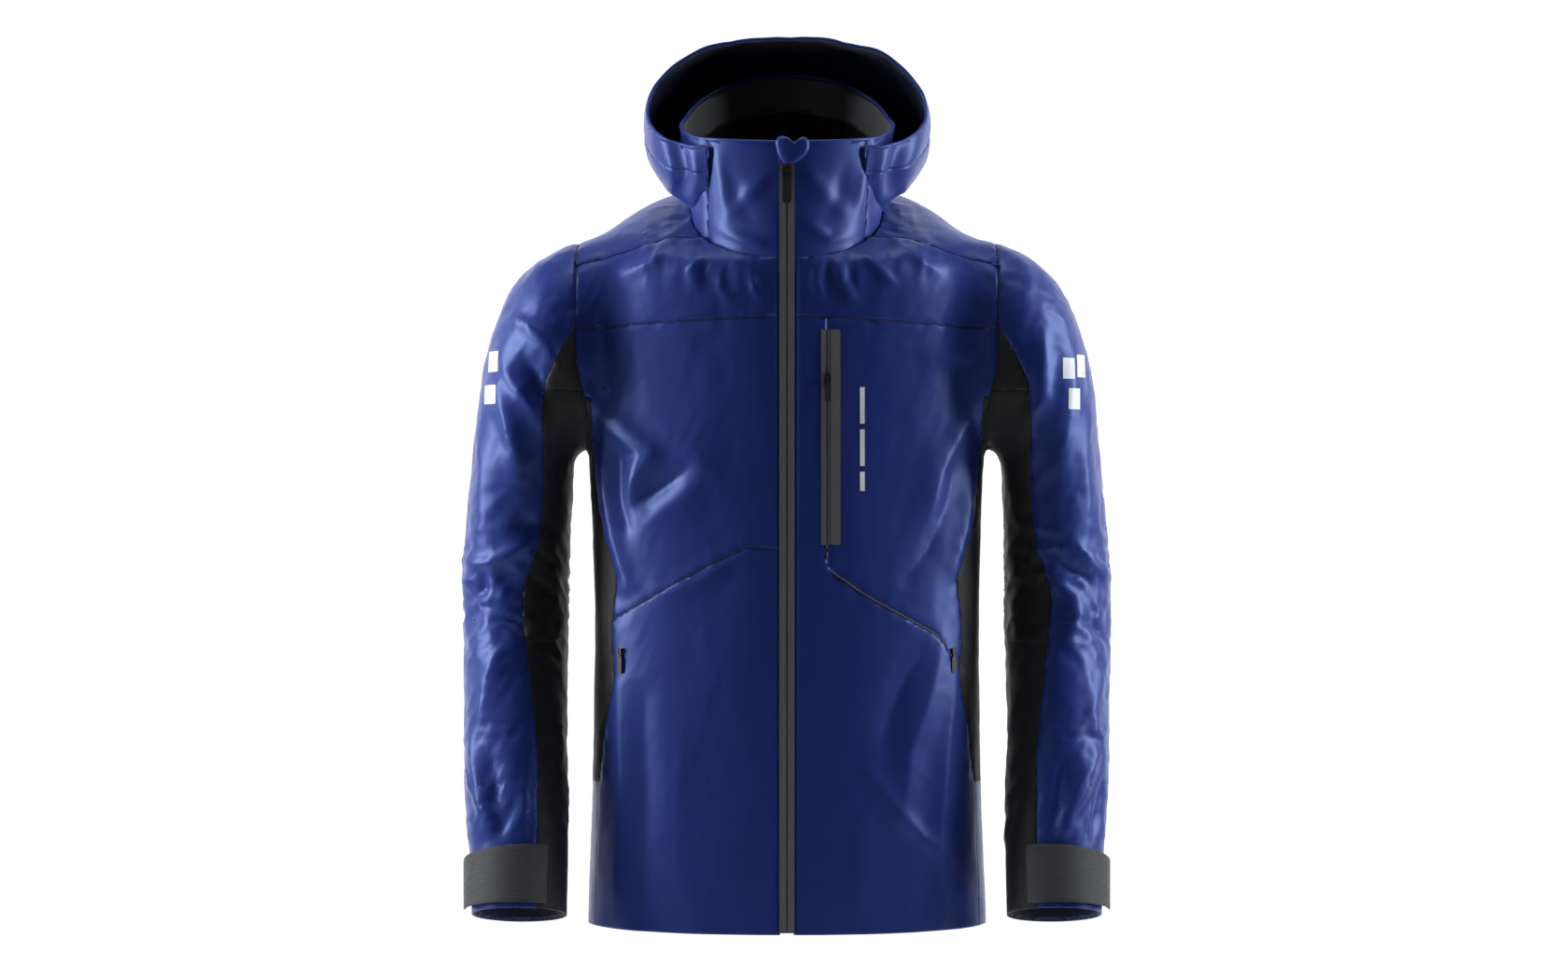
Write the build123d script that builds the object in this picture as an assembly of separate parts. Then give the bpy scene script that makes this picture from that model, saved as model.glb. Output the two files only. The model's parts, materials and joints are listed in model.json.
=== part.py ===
from build123d import *
import math
import os

# Foul weather jacket, as worn: front towards -Y, the wearer's left towards +X, up +Z.
# The origin is the middle of the hem opening. All sizes are in millimetres.

# Shell
FABRIC = 2.4              # three layer shell fabric with its seam allowances
LINING_GAP = 0.6          # air between the shell and the lining
LINING = 1.2
LINING_Z = (30.0, 470.0)
HEM_BAND_Z = (0.5, 29.0)
FACING_OPEN = 12.0        # half the gap that linings and facings leave behind the main zip
HEM_FRONT_Y = -124.0      # the front edge runs straight from hem to collar, so that its zip is straight
FRONT_LEAN = 0.022        # how far the front edge comes back for each unit of height
CHEST_SEAM_Z = 638.0
SIDE_PANEL_X = 180.0      # where the stretch side panels begin
SIDE_PANEL_Z = (160.0, 320.0)
SHOULDER_SEAM_Z = 698.0
COLLAR_SEAM_X = 84.0      # half the width of the collar's front
SLEEVE_SEAM_X = 258.0     # outer sleeve outside of this, under sleeve inside of it
# Seams (x, z) that part each chest panel from the lower front, from the zip to the side
RIGHT_CHEST_EDGE = [(8, 415), (42, 410), (82, 399), (119, 379), (157, 357), (182, 345)]
LEFT_CHEST_EDGE = [(44, 393), (81, 369), (140, 336), (165, 316), (SIDE_PANEL_X, 294)]

# Elbow
ELBOW = (291.0, 22.0, 352.0)
ELBOW_ROUND = 88.0        # radius of the round end on which the forearm turns
ELBOW_GAP = 0.6
FOREARM_TILT = 15.6       # degrees forward of vertical

# Hood
NAPE = (0.0, 108.0, 813.0)
HOOD_GAP = 1.2            # air at the fold, between the fixed base and the part that folds
HOOD_CLEAR = 3.0          # air between the folding part and the collar
HOOD_CENTRE_X = 62.0      # half the width of the centre panel
BRIM = (0, 8, -8)         # how far the brim's seam lies behind and below the face opening

# Main zip
TAPE_WIDTH = 16.0
TAPE_SPLIT = 1.2          # gap between the two tapes, in which the slider's post runs
TAPE = 1.4
COIL = (2.2, 1.6)         # width and thickness of one row of teeth
ZIP_FOOT_Z = 2.0
ZIP_TOP_Z = 800.0
TAPE_TOP_Z = 822.0
BOTTOM_BOX = (9.0, 13.0, 3.0)
GARAGE_X = (-12.0, 22.0)
GARAGE_HEIGHT = (1.0, 28.0)
GARAGE_DEPTH = (0.3, 2.6)
SLIDER = (9.0, 15.0, 2.6)
ZIP_CLEAR = 0.3
PULLER = (9.0, 27.0, 2.0)
EAR = (1.2, 5.0, 4.2)     # each side of the puller's pin
EAR_X = 2.2
PIN = (0.7, 4.0)          # radius and length
PIN_LIFT = 2.2            # pin above the slider's face
EYE = (1.5, 2.4)          # radius and width of the puller's eye
EYE_BORE = 0.9
BACK_PLATE = 1.2

# Pocket zips
CHEST_ZIP_X = 41.5
CHEST_ZIP_Z = (404.0, 628.0)
CHEST_WELT = (10.0, 224.0, 2.0)
CHEST_PARKED = 52.0       # the chest slider rests this far below the top of its zip
HAND_ZIP_X = 172.0
HAND_ZIP_Z = (150.0, 300.0)
HAND_PARKED = 9.0
CHEST_TAPES = (5.5, 3.2)  # widths of the inner and outer tape
HAND_TAPES = (5.5, 5.5)
POCKET_TAPE = 1.0
POCKET_SLOT = 7.5
CHEST_BAG_X = (50.0, 168.0)
CHEST_BAG_Z = (400.0, 600.0)
HAND_BAG_X = (50.0, 176.0)
HAND_BAG_Z = (90.0, 310.0)
TAPE_LIFT = 0.3
SMALL_SLIDER = (6.0, 11.0, 2.0)
SMALL_PULLER = (6.0, 18.0, 1.6)

HANG_LOOP = (40.0, 44.0, 2.0)
HANG_LOOP_AT = (0.0, 89.0, 816.0)
HANG_LOOP_BAND = 4.0      # width of the tape itself

# Cuffs
CUFF_TAB = 3.0
TAB_HEIGHT = 54.0
TAB_LIFT = 6.0            # bottom of the tab above the cuff's own edge
TAB_X = (262.0, 350.0)
TAB_WRAP = 4.0            # how far the tab's free end passes the middle of the arm's outside
TAB_CLEAR = 0.6
CUFF_BAND = 64.0
CUFF_DISTANCE = 352.0 - CUFF_BAND / 2
UNDER_SLEEVE_Z = 470.0

ARMHOLE_X = 192.0
ARMHOLE_Z = 505.0

SIDES = {"left": 1, "right": -1}

# Torso sections from hem to neck:
# height at the front, height at the back, back edge, half width
TORSO = [
    (0.0, 0.0, 124.0, 213.0),
    (140.0, 140.0, 120.0, 208.0),
    (340.0, 340.0, 117.0, 206.0),
    (480.0, 490.0, 124.0, 212.0),
    (580.0, 615.0, 127.0, 220.0),
    (640.0, 725.0, 118.0, 219.0),
    (672.0, 770.0, 110.0, 210.0),
    (692.0, 797.0, 104.0, 176.0),
    (703.0, 812.0, 98.0, 100.0),
]

# Collar sections, in the same terms
COLLAR = [
    (703.0, 812.0, 98.0, 100.0),
    (765.0, 872.0, 97.0, 112.0),
    (845.0, 962.0, 96.0, 120.0),
]

# Hood sections: front edge (y, z), back edge (y, z), half width
HOOD = [
    ((-60.0, 712.0), (106.0, 814.0), 108.0),
    ((-84.0, 745.0), (138.0, 834.0), 136.0),
    ((-98.0, 795.0), (152.0, 860.0), 152.0),
    ((-98.0, 850.0), (150.0, 893.0), 154.0),
    ((-86.0, 895.0), (138.0, 920.0), 134.0),
    ((-60.0, 928.0), (118.0, 940.0), 98.0),
    ((-20.0, 947.0), (92.0, 950.0), 52.0),
]

# Sleeve sections: outer point (x, z), inner point (x, z), middle y, half depth.
# The head runs from the armhole to the upper arm, which goes on below the elbow.
SLEEVE_HEAD = [
    ((192.0, 732.0), (192.0, 508.0), 1.0, 62.0),
    ((222.0, 727.0), (207.0, 508.0), 2.0, 80.0),
    ((262.0, 706.0), (217.0, 506.0), 2.0, 88.0),
    ((297.0, 668.0), (224.0, 499.0), 4.0, 87.0),
    ((322.0, 600.0), (229.0, 488.0), 8.0, 83.0),
]
UPPER_ARM = [
    ((322.0, 600.0), (229.0, 488.0), 8.0, 83.0),
    ((336.0, 500.0), (230.0, 466.0), 13.0, 77.0),
    ((344.0, 420.0), (234.0, 414.0), 18.0, 73.0),
    ((346.0, 352.0), (237.0, 352.0), 22.0, 70.0),
    ((346.0, 300.0), (237.0, 300.0), 16.0, 69.0),
]

# Forearm sections: distance below the elbow along the arm, outer x, inner x, half depth
FOREARM = [
    (-60.0, 346.0, 234.0, 71.0),
    (0.0, 346.0, 236.0, 70.0),
    (80.0, 345.0, 236.0, 67.0),
    (180.0, 342.0, 234.0, 62.0),
    (280.0, 335.0, 232.0, 56.0),
    (352.0, 330.0, 232.0, 51.0),
]


def front_y(z):
    """The front edge, straight from hem to collar top."""
    return HEM_FRONT_Y + FRONT_LEAN * z


def oval(plane, half_x, half_y):
    """An ellipse of two arcs, which meet on the plane's y axis."""
    arcs = [Edge.make_ellipse(half_x, half_y, plane, start, start + 180) for start in (90, 270)]
    return Face(Wire(arcs))


def body_sections(rows, inset):
    """Ellipses whose front points lie on the straight front edge."""
    faces = []
    for front_z, back_z, back_y, half_width in rows:
        front = Vector(0, front_y(front_z), front_z)
        back = Vector(0, back_y, back_z)
        middle = (front + back) * 0.5
        depth = back - front
        plane = Plane(origin=middle, x_dir=(1, 0, 0), z_dir=Vector(1, 0, 0).cross(depth))
        faces.append(oval(plane, half_width - inset, depth.length / 2 - inset))
    return faces


def body_solid(rows, inset):
    return loft(body_sections(rows, inset), ruled=True)


def hood_solid(inset):
    """The hood, each section drawn in by the inset and the crown lowered by it."""
    faces = []
    for row, ((near_y, near_z), (far_y, far_z), half_width) in enumerate(HOOD):
        drop = inset if row == len(HOOD) - 1 else 0.0
        front = Vector(0, near_y, near_z - drop)
        back = Vector(0, far_y, far_z - drop)
        depth = back - front
        plane = Plane(origin=(front + back) * 0.5, x_dir=(1, 0, 0), z_dir=Vector(1, 0, 0).cross(depth))
        faces.append(oval(plane, half_width - inset, depth.length / 2 - inset))
    return loft(faces, ruled=True)


def sleeve_solid(rows, inset):
    faces = []
    for (outer_x, outer_z), (inner_x, inner_z), y, depth in rows:
        outer = Vector(outer_x, y, outer_z)
        inner = Vector(inner_x, y, inner_z)
        across = outer - inner
        plane = Plane(origin=(outer + inner) * 0.5, x_dir=across, z_dir=across.cross(Vector(0, 1, 0)))
        faces.append(oval(plane, across.length / 2 - inset, depth - inset))
    return loft(faces, ruled=True)


def forearm_plane(distance, outer_x=0.0, inner_x=0.0):
    """The plane across the forearm at a distance below the elbow."""
    tilt = math.radians(FOREARM_TILT)
    down = Vector(0, -math.sin(tilt), -math.cos(tilt))
    middle = Vector((outer_x + inner_x) / 2, ELBOW[1], ELBOW[2]) + down * distance
    return Plane(origin=middle, x_dir=(1, 0, 0), z_dir=-down)


def forearm_solid(inset):
    faces = []
    for distance, outer_x, inner_x, depth in FOREARM:
        half_width = (outer_x - inner_x) / 2
        faces.append(oval(forearm_plane(distance, outer_x, inner_x), half_width - inset, depth - inset))
    return loft(faces, ruled=True)


def block(x, y, z):
    """A box from its ranges."""
    size = [high - low for low, high in (x, y, z)]
    middle = [(high + low) / 2 for low, high in (x, y, z)]
    return Pos(*middle) * Box(*size)


def front_prism(points, y):
    """An outline in x and z, filled through a range of y."""
    outline = Plane.XZ * make_face(Polyline(*points, close=True))
    return Pos(0, y[1], 0) * extrude(outline, y[1] - y[0])


def side_prism(points, half_width=260.0):
    """An outline in y and z, filled through the whole width."""
    outline = Plane.YZ * make_face(Polyline(*points, close=True))
    return extrude(outline, half_width, both=True)


def mirrored(shape, sign):
    return shape if sign > 0 else mirror(shape, Plane.YZ)


def take(rest, cutter):
    """Cuts one panel from what is left of a layer."""
    return rest & cutter, rest - cutter


def elbow_round(extra):
    """The cylinder about the elbow's axis on which the forearm turns."""
    return Pos(*ELBOW) * Rot(0, 90, 0) * Cylinder(ELBOW_ROUND + extra, 160)


def below_elbow():
    """Everything lower than the elbow's axis."""
    return block((150, 430), (-300, 300), (-120, ELBOW[2]))


def zip_frame(z):
    """A frame on the main zip's line: x across, y up the zip, z out of the jacket's front."""
    up = Vector(0, FRONT_LEAN, 1)
    return Plane(origin=(0, front_y(z), z), x_dir=(1, 0, 0), z_dir=Vector(1, 0, 0).cross(up))


def on_zip(z, x, height, depth):
    """A box on the zip's line, from ranges across it, up it and out of it."""
    size = [high - low for low, high in (x, height, depth)]
    middle = [(high + low) / 2 for low, high in (x, height, depth)]
    return zip_frame(z).location * Pos(*middle) * Box(*size)


# Torso panels

def torso_shell():
    """The whole body of the jacket from hem to neck seam, before it is cut into panels."""
    return body_solid(TORSO, 0) - body_solid(TORSO, FABRIC)


def side_edge():
    """The seam between the front or back and the stretch side panel, up to the armhole."""
    low, high = SIDE_PANEL_Z
    return [(SIDE_PANEL_X, low), (SIDE_PANEL_X, high), (188, 420), (ARMHOLE_X, ARMHOLE_Z)]


def shoulder_seam(end_x):
    """The seam that crosses the front of the shoulder, from the neck outwards."""
    return [(end_x, SHOULDER_SEAM_Z + 40), (90, SHOULDER_SEAM_Z + 30), (150, SHOULDER_SEAM_Z + 16),
            (ARMHOLE_X, SHOULDER_SEAM_Z)]


def front_panels(shell, side, lower_edge):
    """The cloth of one front. lower_edge runs from the zip to the side and parts chest from lower front."""
    sign = SIDES[side]
    edge = TAPE_WIDTH / 2
    yoke = [(edge, CHEST_SEAM_Z), (ARMHOLE_X, CHEST_SEAM_Z)] + shoulder_seam(edge)[::-1]
    above = [point for point in side_edge() if point[1] > lower_edge[-1][1]]
    chest = lower_edge + above + [(ARMHOLE_X, CHEST_SEAM_Z)]
    below = [point for point in side_edge() if point[1] < lower_edge[-1][1]]
    lower = [(edge, -10), (SIDE_PANEL_X, -10)] + below + lower_edge[::-1]
    if lower_edge[0][0] > edge:
        lower = lower + [(edge, CHEST_SEAM_Z)]
    else:
        chest = chest + [(edge, CHEST_SEAM_Z)]
    outlines = {"front_yoke": yoke, "chest_panel": chest, "lower_front": lower}
    panels = {}
    for name, outline in outlines.items():
        panels[f"{name}_{side}"] = shell & mirrored(front_prism(outline, (-200, 0)), sign)
    return panels


def side_panels(shell):
    stretch = front_prism(side_edge() + [(300, ARMHOLE_Z), (300, SIDE_PANEL_Z[0])], (-200, 200))
    hem = block((SIDE_PANEL_X, 300), (-200, 200), (-10, SIDE_PANEL_Z[0]))
    side_panel = shell & stretch
    side_hem = shell & hem
    panels = {}
    for side, sign in SIDES.items():
        panels[f"side_panel_{side}"] = mirrored(side_panel, sign)
        panels[f"side_hem_{side}"] = mirrored(side_hem, sign)
    return panels


def torso_panels():
    shell = torso_shell()
    beside_zip = [(CHEST_ZIP_X, CHEST_SEAM_Z), (CHEST_ZIP_X, CHEST_ZIP_Z[0])]
    panels = front_panels(shell, "left", beside_zip + LEFT_CHEST_EDGE)
    panels.update(front_panels(shell, "right", RIGHT_CHEST_EDGE))
    chest_slot = pocket_slot(CHEST_ZIP_X, CHEST_ZIP_Z)
    hand_slot = pocket_slot(HAND_ZIP_X, HAND_ZIP_Z)
    panels["chest_panel_left"] -= chest_slot
    panels["lower_front_left"] -= chest_slot + hand_slot
    panels["lower_front_right"] -= mirror(hand_slot, Plane.YZ)
    panels.update(side_panels(shell))

    seam = shoulder_seam(TAPE_WIDTH / 2)
    over = seam + [(ARMHOLE_X, 900), (-ARMHOLE_X, 900)] + [(-x, z) for x, z in seam[::-1]]
    shoulder = front_prism(over, (-200, 0)) + block((-ARMHOLE_X, ARMHOLE_X), (0, 200), (CHEST_SEAM_Z, 900))
    panels["shoulder_yoke"] = shell & shoulder
    edge = [(SIDE_PANEL_X, -10)] + side_edge() + [(ARMHOLE_X, CHEST_SEAM_Z)]
    back = edge + [(-x, z) for x, z in edge[::-1]]
    panels["back_panel"] = shell & front_prism(back, (0, 200))
    return panels


def lining_layer(inset):
    """The loose layer inside the torso, from above the hem to below the armholes."""
    layer = body_solid(TORSO[:4], inset) - body_solid(TORSO[:4], inset + LINING)
    layer = layer & block((-230, 230), (-200, 200), LINING_Z)
    return layer - block((-FACING_OPEN, FACING_OPEN), (-200, 0), (-10, 900))


def hem_band():
    """The elastic facing inside the hem."""
    inset = FABRIC + LINING_GAP
    band = body_solid(TORSO[:3], inset) - body_solid(TORSO[:3], inset + LINING)
    band = band & block((-260, 260), (-200, 200), HEM_BAND_Z)
    return band - block((-FACING_OPEN, FACING_OPEN), (-200, 0), (-10, 900))


def pocket_bags():
    """Flat bags behind the front, inside of the lining."""
    inset = FABRIC + 2 * LINING_GAP + LINING
    layer = body_solid(TORSO[:5], inset) - body_solid(TORSO[:5], inset + LINING)
    bags = {"chest_pocket_bag": layer & block(CHEST_BAG_X, (-200, 0), CHEST_BAG_Z)}
    for side, sign in SIDES.items():
        bag = layer & block(HAND_BAG_X, (-200, 0), HAND_BAG_Z)
        bags[f"hand_pocket_bag_{side}"] = mirrored(bag, sign)
    return bags


# Sleeves

def upper_sleeve():
    head = sleeve_solid(SLEEVE_HEAD, 0) - sleeve_solid(SLEEVE_HEAD, FABRIC)
    arm = sleeve_solid(UPPER_ARM, 0) - sleeve_solid(UPPER_ARM, FABRIC)
    return head + (arm - elbow_round(ELBOW_GAP) - below_elbow())


def forearm():
    tube = forearm_solid(0) - forearm_solid(FABRIC)
    keep = elbow_round(0) + below_elbow()
    return tube & keep


def sleeve_panels():
    """The panels of the left sleeve."""
    upper = upper_sleeve()
    lower = forearm()
    inner = [(150, 250), (SLEEVE_SEAM_X, 250), (SLEEVE_SEAM_X, 500), (240, 600), (222, 640), (150, 640)]
    inner_side = upper & front_prism(inner, (-300, 300))
    above = block((150, 300), (-300, 300), (UNDER_SLEEVE_Z, 900))
    outer_side = block((SLEEVE_SEAM_X, 460), (-300, 300), (-120, 900))
    cuff = forearm_plane(CUFF_DISTANCE).location * Pos(ELBOW[0], 0, 0) * Box(300, 300, CUFF_BAND)
    lower_cloth = lower - cuff
    return {
        "underarm_gusset": inner_side & above,
        "under_sleeve": inner_side - above,
        "upper_sleeve": upper - front_prism(inner, (-300, 300)),
        "cuff_band": lower & cuff,
        "lower_sleeve": lower_cloth & outer_side,
        "lower_under_sleeve": lower_cloth - outer_side,
        "cuff_tab": cuff_tab(),
    }


def cuff_tab():
    """The ribbed tab that wraps the front of the cuff from its seam to the outside of the arm."""
    wrap = forearm_solid(-TAB_CLEAR - CUFF_TAB) - forearm_solid(-TAB_CLEAR)
    middle = FOREARM[-1][0] - TAB_LIFT - TAB_HEIGHT / 2
    low_x, high_x = TAB_X
    reach = forearm_plane(middle).location * Pos((low_x + high_x) / 2, TAB_WRAP - 100, 0)
    return wrap & (reach * Box(high_x - low_x, 200, TAB_HEIGHT))


# Collar

def collar_top(extra):
    """Everything above the collar's top edge, which rises from the front to the back."""
    return side_prism([(-200, 826 - extra), (-60, 832 - extra), (20, 860 - extra), (120, 932 - extra),
                       (200, 960), (200, 1100), (-200, 1100)])


def collar_shell(inset, wall, extra):
    shell = body_solid(COLLAR, inset) - body_solid(COLLAR, inset + wall)
    shell = shell - collar_top(extra)
    return shell - block((-TAPE_WIDTH / 2, TAPE_WIDTH / 2), (-200, 0), (600, 900))


def collar_panels():
    panels = {}
    rest = collar_shell(0, FABRIC, 0)
    for side, sign in SIDES.items():
        front = block((0, COLLAR_SEAM_X), (-200, 0), (600, 1000))
        panels[f"collar_front_{side}"], rest = take(rest, mirrored(front, sign))
    panels["collar_back"] = rest
    inside = collar_shell(FABRIC + LINING_GAP, LINING, 2)
    inside = inside - block((-FACING_OPEN, FACING_OPEN), (-200, 0), (600, 900))
    facing_cut = side_prism([(-200, 790), (-60, 794), (20, 822), (120, 892), (200, 920), (200, 1100),
                             (-200, 1100)])
    panels["collar_facing"], panels["collar_lining"] = take(inside, facing_cut)
    return panels


# Hood

def hood_face_cut():
    """What the face opening takes out of the hood's front."""
    return side_prism([(-200, 824), (-60, 832), (-10, 846), (14, 872), (26, 960), (26, 1100), (-200, 1100)])


def hood_shell():
    shell = hood_solid(0) - hood_solid(FABRIC)
    shell = shell - block((-90, 90), (-200, -20), (600, 1000))
    return shell - hood_face_cut()


def collar_room(margin):
    """The space that the collar fills, grown by a margin."""
    return body_solid(COLLAR, -margin) - collar_top(-margin)


def hood_panels():
    panels = {}
    shell = hood_shell()
    base = side_prism([(NAPE[1], NAPE[2]), (-200, 850), (-200, 600), (NAPE[1], 600)])
    torso = body_solid(TORSO, 0)
    panels["hood_base"] = (shell & base) - torso - collar_room(0)
    below = side_prism([(200, NAPE[2] - 12), (NAPE[1] + 4, NAPE[2] + HOOD_GAP), (-200, 850 + HOOD_GAP),
                        (-200, 600), (200, 600)])
    rest = shell - below - torso - collar_room(HOOD_CLEAR)
    edge = Pos(*BRIM) * hood_face_cut()
    panels["hood_brim"], rest = take(rest, edge)
    panels["hood_centre"], rest = take(rest, block((-HOOD_CENTRE_X, HOOD_CENTRE_X), (-200, 300), (600, 1100)))
    for side, sign in SIDES.items():
        panels[f"hood_side_{side}"] = rest & mirrored(block((0, 300), (-200, 300), (600, 1100)), sign)
    return panels


# Main zip

def main_zip():
    length = ZIP_TOP_Z - ZIP_FOOT_Z
    tape_top = TAPE_TOP_Z - ZIP_FOOT_Z
    box_width, box_height, box_depth = BOTTOM_BOX
    inner = TAPE_SPLIT / 2
    outer = TAPE_WIDTH / 2
    parts = {}
    for side, sign in SIDES.items():
        tape = on_zip(ZIP_FOOT_Z, (inner, outer - 0.05), (0, tape_top), (-TAPE, 0))
        coil_height = (box_height + 1, length)
        coil = on_zip(ZIP_FOOT_Z, (inner, inner + COIL[0]), coil_height, (-TAPE - COIL[1], -TAPE - 0.02))
        parts[f"zip_tape_{side}"] = mirrored(tape, sign)
        parts[f"zip_teeth_{side}"] = mirrored(coil, sign)
    box_x = (-box_width / 2, box_width / 2)
    parts["zip_bottom_box"] = on_zip(ZIP_FOOT_Z, box_x, (0, box_height), (-TAPE - box_depth, -TAPE - 0.02))
    garage_height = tuple(length + height for height in GARAGE_HEIGHT)
    parts["zip_garage"] = on_zip(ZIP_FOOT_Z, GARAGE_X, garage_height, GARAGE_DEPTH)
    return parts


def slider_body(size, tape, coil, split_width):
    """Front plate, post and back plate, with two ears for the puller, in the zip's own frame."""
    width, height, plate = size
    face = ZIP_CLEAR
    behind = -(tape + coil + ZIP_CLEAR)
    front = Pos(0, 0, face + plate / 2) * Box(width, height, plate)
    back = Pos(0, 0, behind - BACK_PLATE / 2) * Box(width, height * 0.8, BACK_PLATE)
    post = Pos(0, height * 0.2, (face + behind) / 2) * Box(split_width - 0.5, 4, face - behind)
    body = front + back + post
    for sign in (-1, 1):
        body += Pos(sign * EAR_X, height * 0.1, face + plate + EAR[2] / 2 - 0.2) * Box(*EAR)
    pin = Pos(0, height * 0.1, face + plate + PIN_LIFT) * Rot(0, 90, 0) * Cylinder(*PIN)
    return body + pin


def puller_body(size, slider):
    """A tab that hangs from the slider's pin, in the zip's own frame."""
    width, length, thick = size
    height = slider[1] * 0.1
    out = ZIP_CLEAR + slider[2] + PIN_LIFT
    neck = Pos(0, height - 2.0, out) * Box(EYE[1], 8.0, thick)
    tab = Pos(0, height - 6 - length / 2, out) * Box(width, length, thick)
    tab = fillet(tab.edges().filter_by(Axis.Z), width * 0.35)
    eye = Pos(0, height, out) * Rot(0, 90, 0) * Cylinder(*EYE)
    bore = Pos(0, height, out) * Rot(0, 90, 0) * Cylinder(EYE_BORE, 6.0)
    return (neck + tab + eye) - bore


def main_slider():
    place = zip_frame(ZIP_TOP_Z - SLIDER[1] / 2 - 2.0).location
    return {
        "main_zip_slider": place * slider_body(SLIDER, TAPE, COIL[1], TAPE_SPLIT),
        "main_zip_puller": place * puller_body(PULLER, SLIDER),
    }


# Pocket zips

def surface_point(x, z):
    """A point on the torso's front, from the two sections beside it."""
    for low, high in zip(TORSO, TORSO[1:]):
        if low[0] <= z <= high[0]:
            share = (z - low[0]) / (high[0] - low[0])
            back = low[2] + share * (high[2] - low[2])
            half = low[3] + share * (high[3] - low[3])
            middle = (front_y(z) + back) / 2
            depth = (back - front_y(z)) / 2
            return Vector(x, middle - depth * math.sqrt(1 - (x / half) ** 2), z)
    raise ValueError("above the torso")


def surface_frame(x, low_z, high_z, lift):
    """A frame on the torso's front between two heights: y up the zip, z out of the cloth."""
    low = surface_point(x, low_z)
    high = surface_point(x, high_z)
    beside = surface_point(x - 4, low_z)
    up = (high - low).normalized()
    out = (low - beside).cross(up).normalized()
    return Plane(origin=low + out * lift, x_dir=up.cross(out), z_dir=out), (high - low).length


def pocket_zip(place, length, parked, widths):
    """A short zip in its own frame: two tapes of their own widths, slider and puller."""
    middle = TAPE_LIFT + POCKET_TAPE / 2
    tapes = Pos(0, 1.0, middle) * Box(1.2, 2.0, POCKET_TAPE)
    for sign, width in zip((-1, 1), widths):
        tapes += Pos(sign * (0.5 + width / 2), length / 2, middle) * Box(width, length, POCKET_TAPE)
    at_slider = Pos(0, parked, TAPE_LIFT + POCKET_TAPE)
    body = at_slider * slider_body(SMALL_SLIDER, 1.0, 0.0, 1.0)
    tab = at_slider * puller_body(SMALL_PULLER, SMALL_SLIDER)
    return [place * shape for shape in (tapes, body, tab)]


def pocket_slot(x, z_range):
    """The slit in the shell below a pocket zip."""
    plane, length = surface_frame(x, z_range[0], z_range[1], 0.0)
    return plane.location * Pos(0, length / 2, 0) * Box(POCKET_SLOT, length, 12)


def chest_pocket():
    """A zip down the wearer's left chest, with a welt beside it."""
    plane, length = surface_frame(CHEST_ZIP_X, CHEST_ZIP_Z[0], CHEST_ZIP_Z[1], 0.0)
    width, height, thick = CHEST_WELT
    beside = SMALL_SLIDER[0] / 2 + 1 + width / 2
    welt = Pos(beside, length / 2, TAPE_LIFT + thick / 2) * Box(width, height, thick)
    welt = fillet(welt.edges().filter_by(Axis.Z), 2.0)
    tapes, body, tab = pocket_zip(plane.location, length, length - CHEST_PARKED, CHEST_TAPES)
    return {
        "chest_pocket_welt": plane.location * welt,
        "chest_zip": tapes,
        "chest_zip_slider": body,
        "chest_zip_puller": tab,
    }


def hand_pockets():
    """A zip at each side, just in front of the side panel."""
    low_z, high_z = HAND_ZIP_Z
    plane, length = surface_frame(HAND_ZIP_X, low_z, high_z, 0.0)
    tapes, body, tab = pocket_zip(plane.location, length, length - HAND_PARKED, HAND_TAPES)
    parts = {}
    for side, sign in SIDES.items():
        parts[f"hand_zip_{side}"] = mirrored(tapes, sign)
        parts[f"hand_zip_slider_{side}"] = mirrored(body, sign)
        parts[f"hand_zip_puller_{side}"] = mirrored(tab, sign)
    return parts


def hang_loop():
    """A loop of tape inside the back of the neck."""
    width, height, thick = HANG_LOOP
    hole = Box(width - 2 * HANG_LOOP_BAND, 3 * thick, height - 2 * HANG_LOOP_BAND)
    return {"hang_loop": Pos(*HANG_LOOP_AT) * (Box(width, thick, height) - hole)}


def build():
    parts = torso_panels()
    parts["body_lining"] = lining_layer(FABRIC + LINING_GAP)
    parts["hem_band"] = hem_band()
    parts.update(pocket_bags())
    for name, panel in sleeve_panels().items():
        for side, sign in SIDES.items():
            parts[f"{name}_{side}"] = mirrored(panel, sign)
    parts.update(collar_panels())
    parts.update(hood_panels())
    parts.update(main_zip())
    parts.update(main_slider())
    parts.update(chest_pocket())
    parts.update(hand_pockets())
    parts.update(hang_loop())
    return parts


os.makedirs("parts", exist_ok=True)
for node, shape in build().items():
    export_step(shape, f"parts/{node}.step")
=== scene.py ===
import json
import math

import bmesh
import bpy
import numpy as np
from mathutils import Matrix, Vector, noise

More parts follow.
